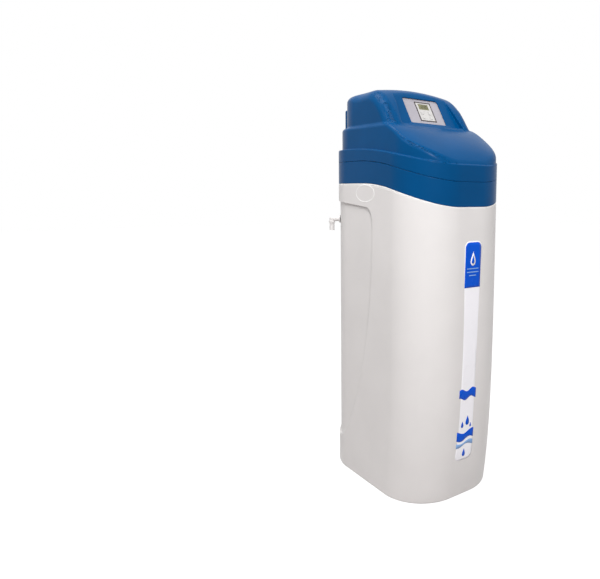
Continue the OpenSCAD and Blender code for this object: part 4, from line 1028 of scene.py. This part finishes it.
def finish_solids():
    slots = {s["node"]: s["material_slot"] for s in frame["record"]["subparts"]}
    for name, obj in frame["nodes"].items():
        obj.data.materials.clear()
        obj.data.materials.append(MATERIALS[slots[name]])
        if obj.hide_render:
            continue
        weld = obj.modifiers.new("weld", "WELD")
        weld.merge_threshold = WELD * MM
        if name not in NO_BEVEL:
            edge = obj.modifiers.new("edges", "BEVEL")
            edge.width = (FINE_WIDTH if name in FINE_EDGE else EDGE_WIDTH) * MM
            edge.segments = 2
            edge.limit_method = "ANGLE"
            edge.angle_limit = math.radians(EDGE_ANGLE)
            edge.harden_normals = False
        smooth = obj.modifiers.new("even", "WEIGHTED_NORMAL")
        smooth.keep_sharp = True


finish_solids()

# Floor, light and camera, in metres

FLOOR_HALF = 12.0
FLOOR_TONES = (0.42, 0.39, 0.38, 1.0), (0.4, 0.37, 0.36, 1.0)
FLOOR_SEEN = (0.32, 0.32, 0.32, 1.0)
FLOOR_GLOW = 0.88
PURE_WHITE = (1.0, 1.0, 1.0, 1.0)
WORLD_SEEN, WORLD_SOFT = 1.0, 0.4
# Place, aim, size and power of each lamp
LAMPS = {
    "key": ((-1.35, -2.4, 2.3), (0.0, 0.0, 0.8), 0.7, 59.0),
    "left": ((-2.1, -0.1, 2.4), (0.0, 0.0, 0.8), 0.7, 9.0),
    "pillar": ((-1.0, -0.8, 2.9), (0.0, -0.05, 1.05), 0.9, 17.0),
    "top": ((-0.6, 0.4, 2.9), (0.0, 0.0, 1.0), 1.0, 15.0),
    "right": ((2.2, -1.6, 1.5), (0.0, 0.0, 0.8), 1.2, 1.0),
}
SENSOR, LENS = 36.0, 34.07
SHIFT_X, SHIFT_Y = -0.1887, -0.0648
CAMERA_PLACE = (-1.036, -1.3072, 0.834)
CAMERA_TURN = math.radians(-38.324)
CAMERA_PITCH = math.radians(5.88)
CAMERA_ROLL = math.radians(0.541)
CAMERA_REACH = 100.0


def seen_rays(tree):
    """One for rays that show the background itself: straight, mirrored or through glass."""
    rays = tree.nodes.new("ShaderNodeLightPath")
    total = rays.outputs["Is Camera Ray"]
    for name in ("Is Glossy Ray", "Is Transmission Ray"):
        most = tree.nodes.new("ShaderNodeMath")
        most.operation = "MAXIMUM"
        tree.links.new(total, most.inputs[0])
        tree.links.new(rays.outputs[name], most.inputs[1])
        total = most.outputs[0]
    return total


def floor_paper():
    """Paper that glows white where it is seen and keeps the shadow, and is warm grey to other rays."""
    n = Nodes("floor_paper")
    grain = n.mix(n.ranged(n.noise(scale=2.0, detail=3.0), low=0.0, high=1.0), *FLOOR_TONES)
    matt = n.add("ShaderNodeBsdfDiffuse", Color=grain)
    thin = n.add("ShaderNodeBsdfDiffuse", Color=FLOOR_SEEN)
    glow = n.add("ShaderNodeEmission", Color=PURE_WHITE, Strength=FLOOR_GLOW)
    both = n.add("ShaderNodeAddShader")
    n.tree.links.new(thin.outputs[0], both.inputs[0])
    n.tree.links.new(glow.outputs[0], both.inputs[1])
    pick = n.add("ShaderNodeMixShader", Fac=seen_rays(n.tree))
    n.tree.links.new(matt.outputs[0], pick.inputs[1])
    n.tree.links.new(both.outputs[0], pick.inputs[2])
    n.tree.links.new(pick.outputs[0], n.output.inputs["Surface"])
    return n.material


def build_floor():
    mesh = bpy.data.meshes.new("floor")
    h = FLOOR_HALF
    mesh.from_pydata([(-h, -h, 0), (h, -h, 0), (h, h, 0), (-h, h, 0)], [], [(0, 1, 2, 3)])
    mesh.materials.append(floor_paper())
    obj = bpy.data.objects.new("floor", mesh)
    bpy.context.scene.collection.objects.link(obj)


def build_world():
    world = bpy.data.worlds.new("studio")
    world.use_nodes = True
    tree = world.node_tree
    tree.nodes.clear()
    out = tree.nodes.new("ShaderNodeOutputWorld")
    pick = tree.nodes.new("ShaderNodeMixShader")
    tree.links.new(seen_rays(tree), pick.inputs[0])
    for socket, strength in ((1, WORLD_SOFT), (2, WORLD_SEEN)):
        sky = tree.nodes.new("ShaderNodeBackground")
        sky.inputs["Color"].default_value = PURE_WHITE
        sky.inputs["Strength"].default_value = strength
        tree.links.new(sky.outputs[0], pick.inputs[socket])
    tree.links.new(pick.outputs[0], out.inputs["Surface"])
    bpy.context.scene.world = world


def area_light(name, place, aim, size, power):
    data = bpy.data.lights.new(name, "AREA")
    data.shape = "DISK"
    data.size = size
    data.energy = power
    obj = bpy.data.objects.new(name, data)
    obj.location = place
    obj.rotation_mode = "QUATERNION"
    obj.rotation_quaternion = (Vector(aim) - Vector(place)).to_track_quat("-Z", "Y")
    bpy.context.scene.collection.objects.link(obj)


def build_camera():
    data = bpy.data.cameras.new("camera")
    data.sensor_width = SENSOR
    data.lens = LENS
    data.shift_x = SHIFT_X
    data.shift_y = SHIFT_Y
    data.clip_end = CAMERA_REACH
    obj = bpy.data.objects.new("camera", data)
    level = math.cos(CAMERA_PITCH)
    back = Vector((math.sin(CAMERA_TURN) * level, -math.cos(CAMERA_TURN) * level, math.sin(CAMERA_PITCH)))
    obj.location = CAMERA_PLACE
    obj.rotation_mode = "QUATERNION"
    obj.rotation_quaternion = Quaternion(back, CAMERA_ROLL) @ (-back).to_track_quat("-Z", "Y")
    bpy.context.scene.collection.objects.link(obj)
    bpy.context.scene.camera = obj


build_floor()
build_world()
for lamp_name, lamp in LAMPS.items():
    area_light(lamp_name, *lamp)
build_camera()
bpy.context.scene.view_settings.view_transform = "Standard"
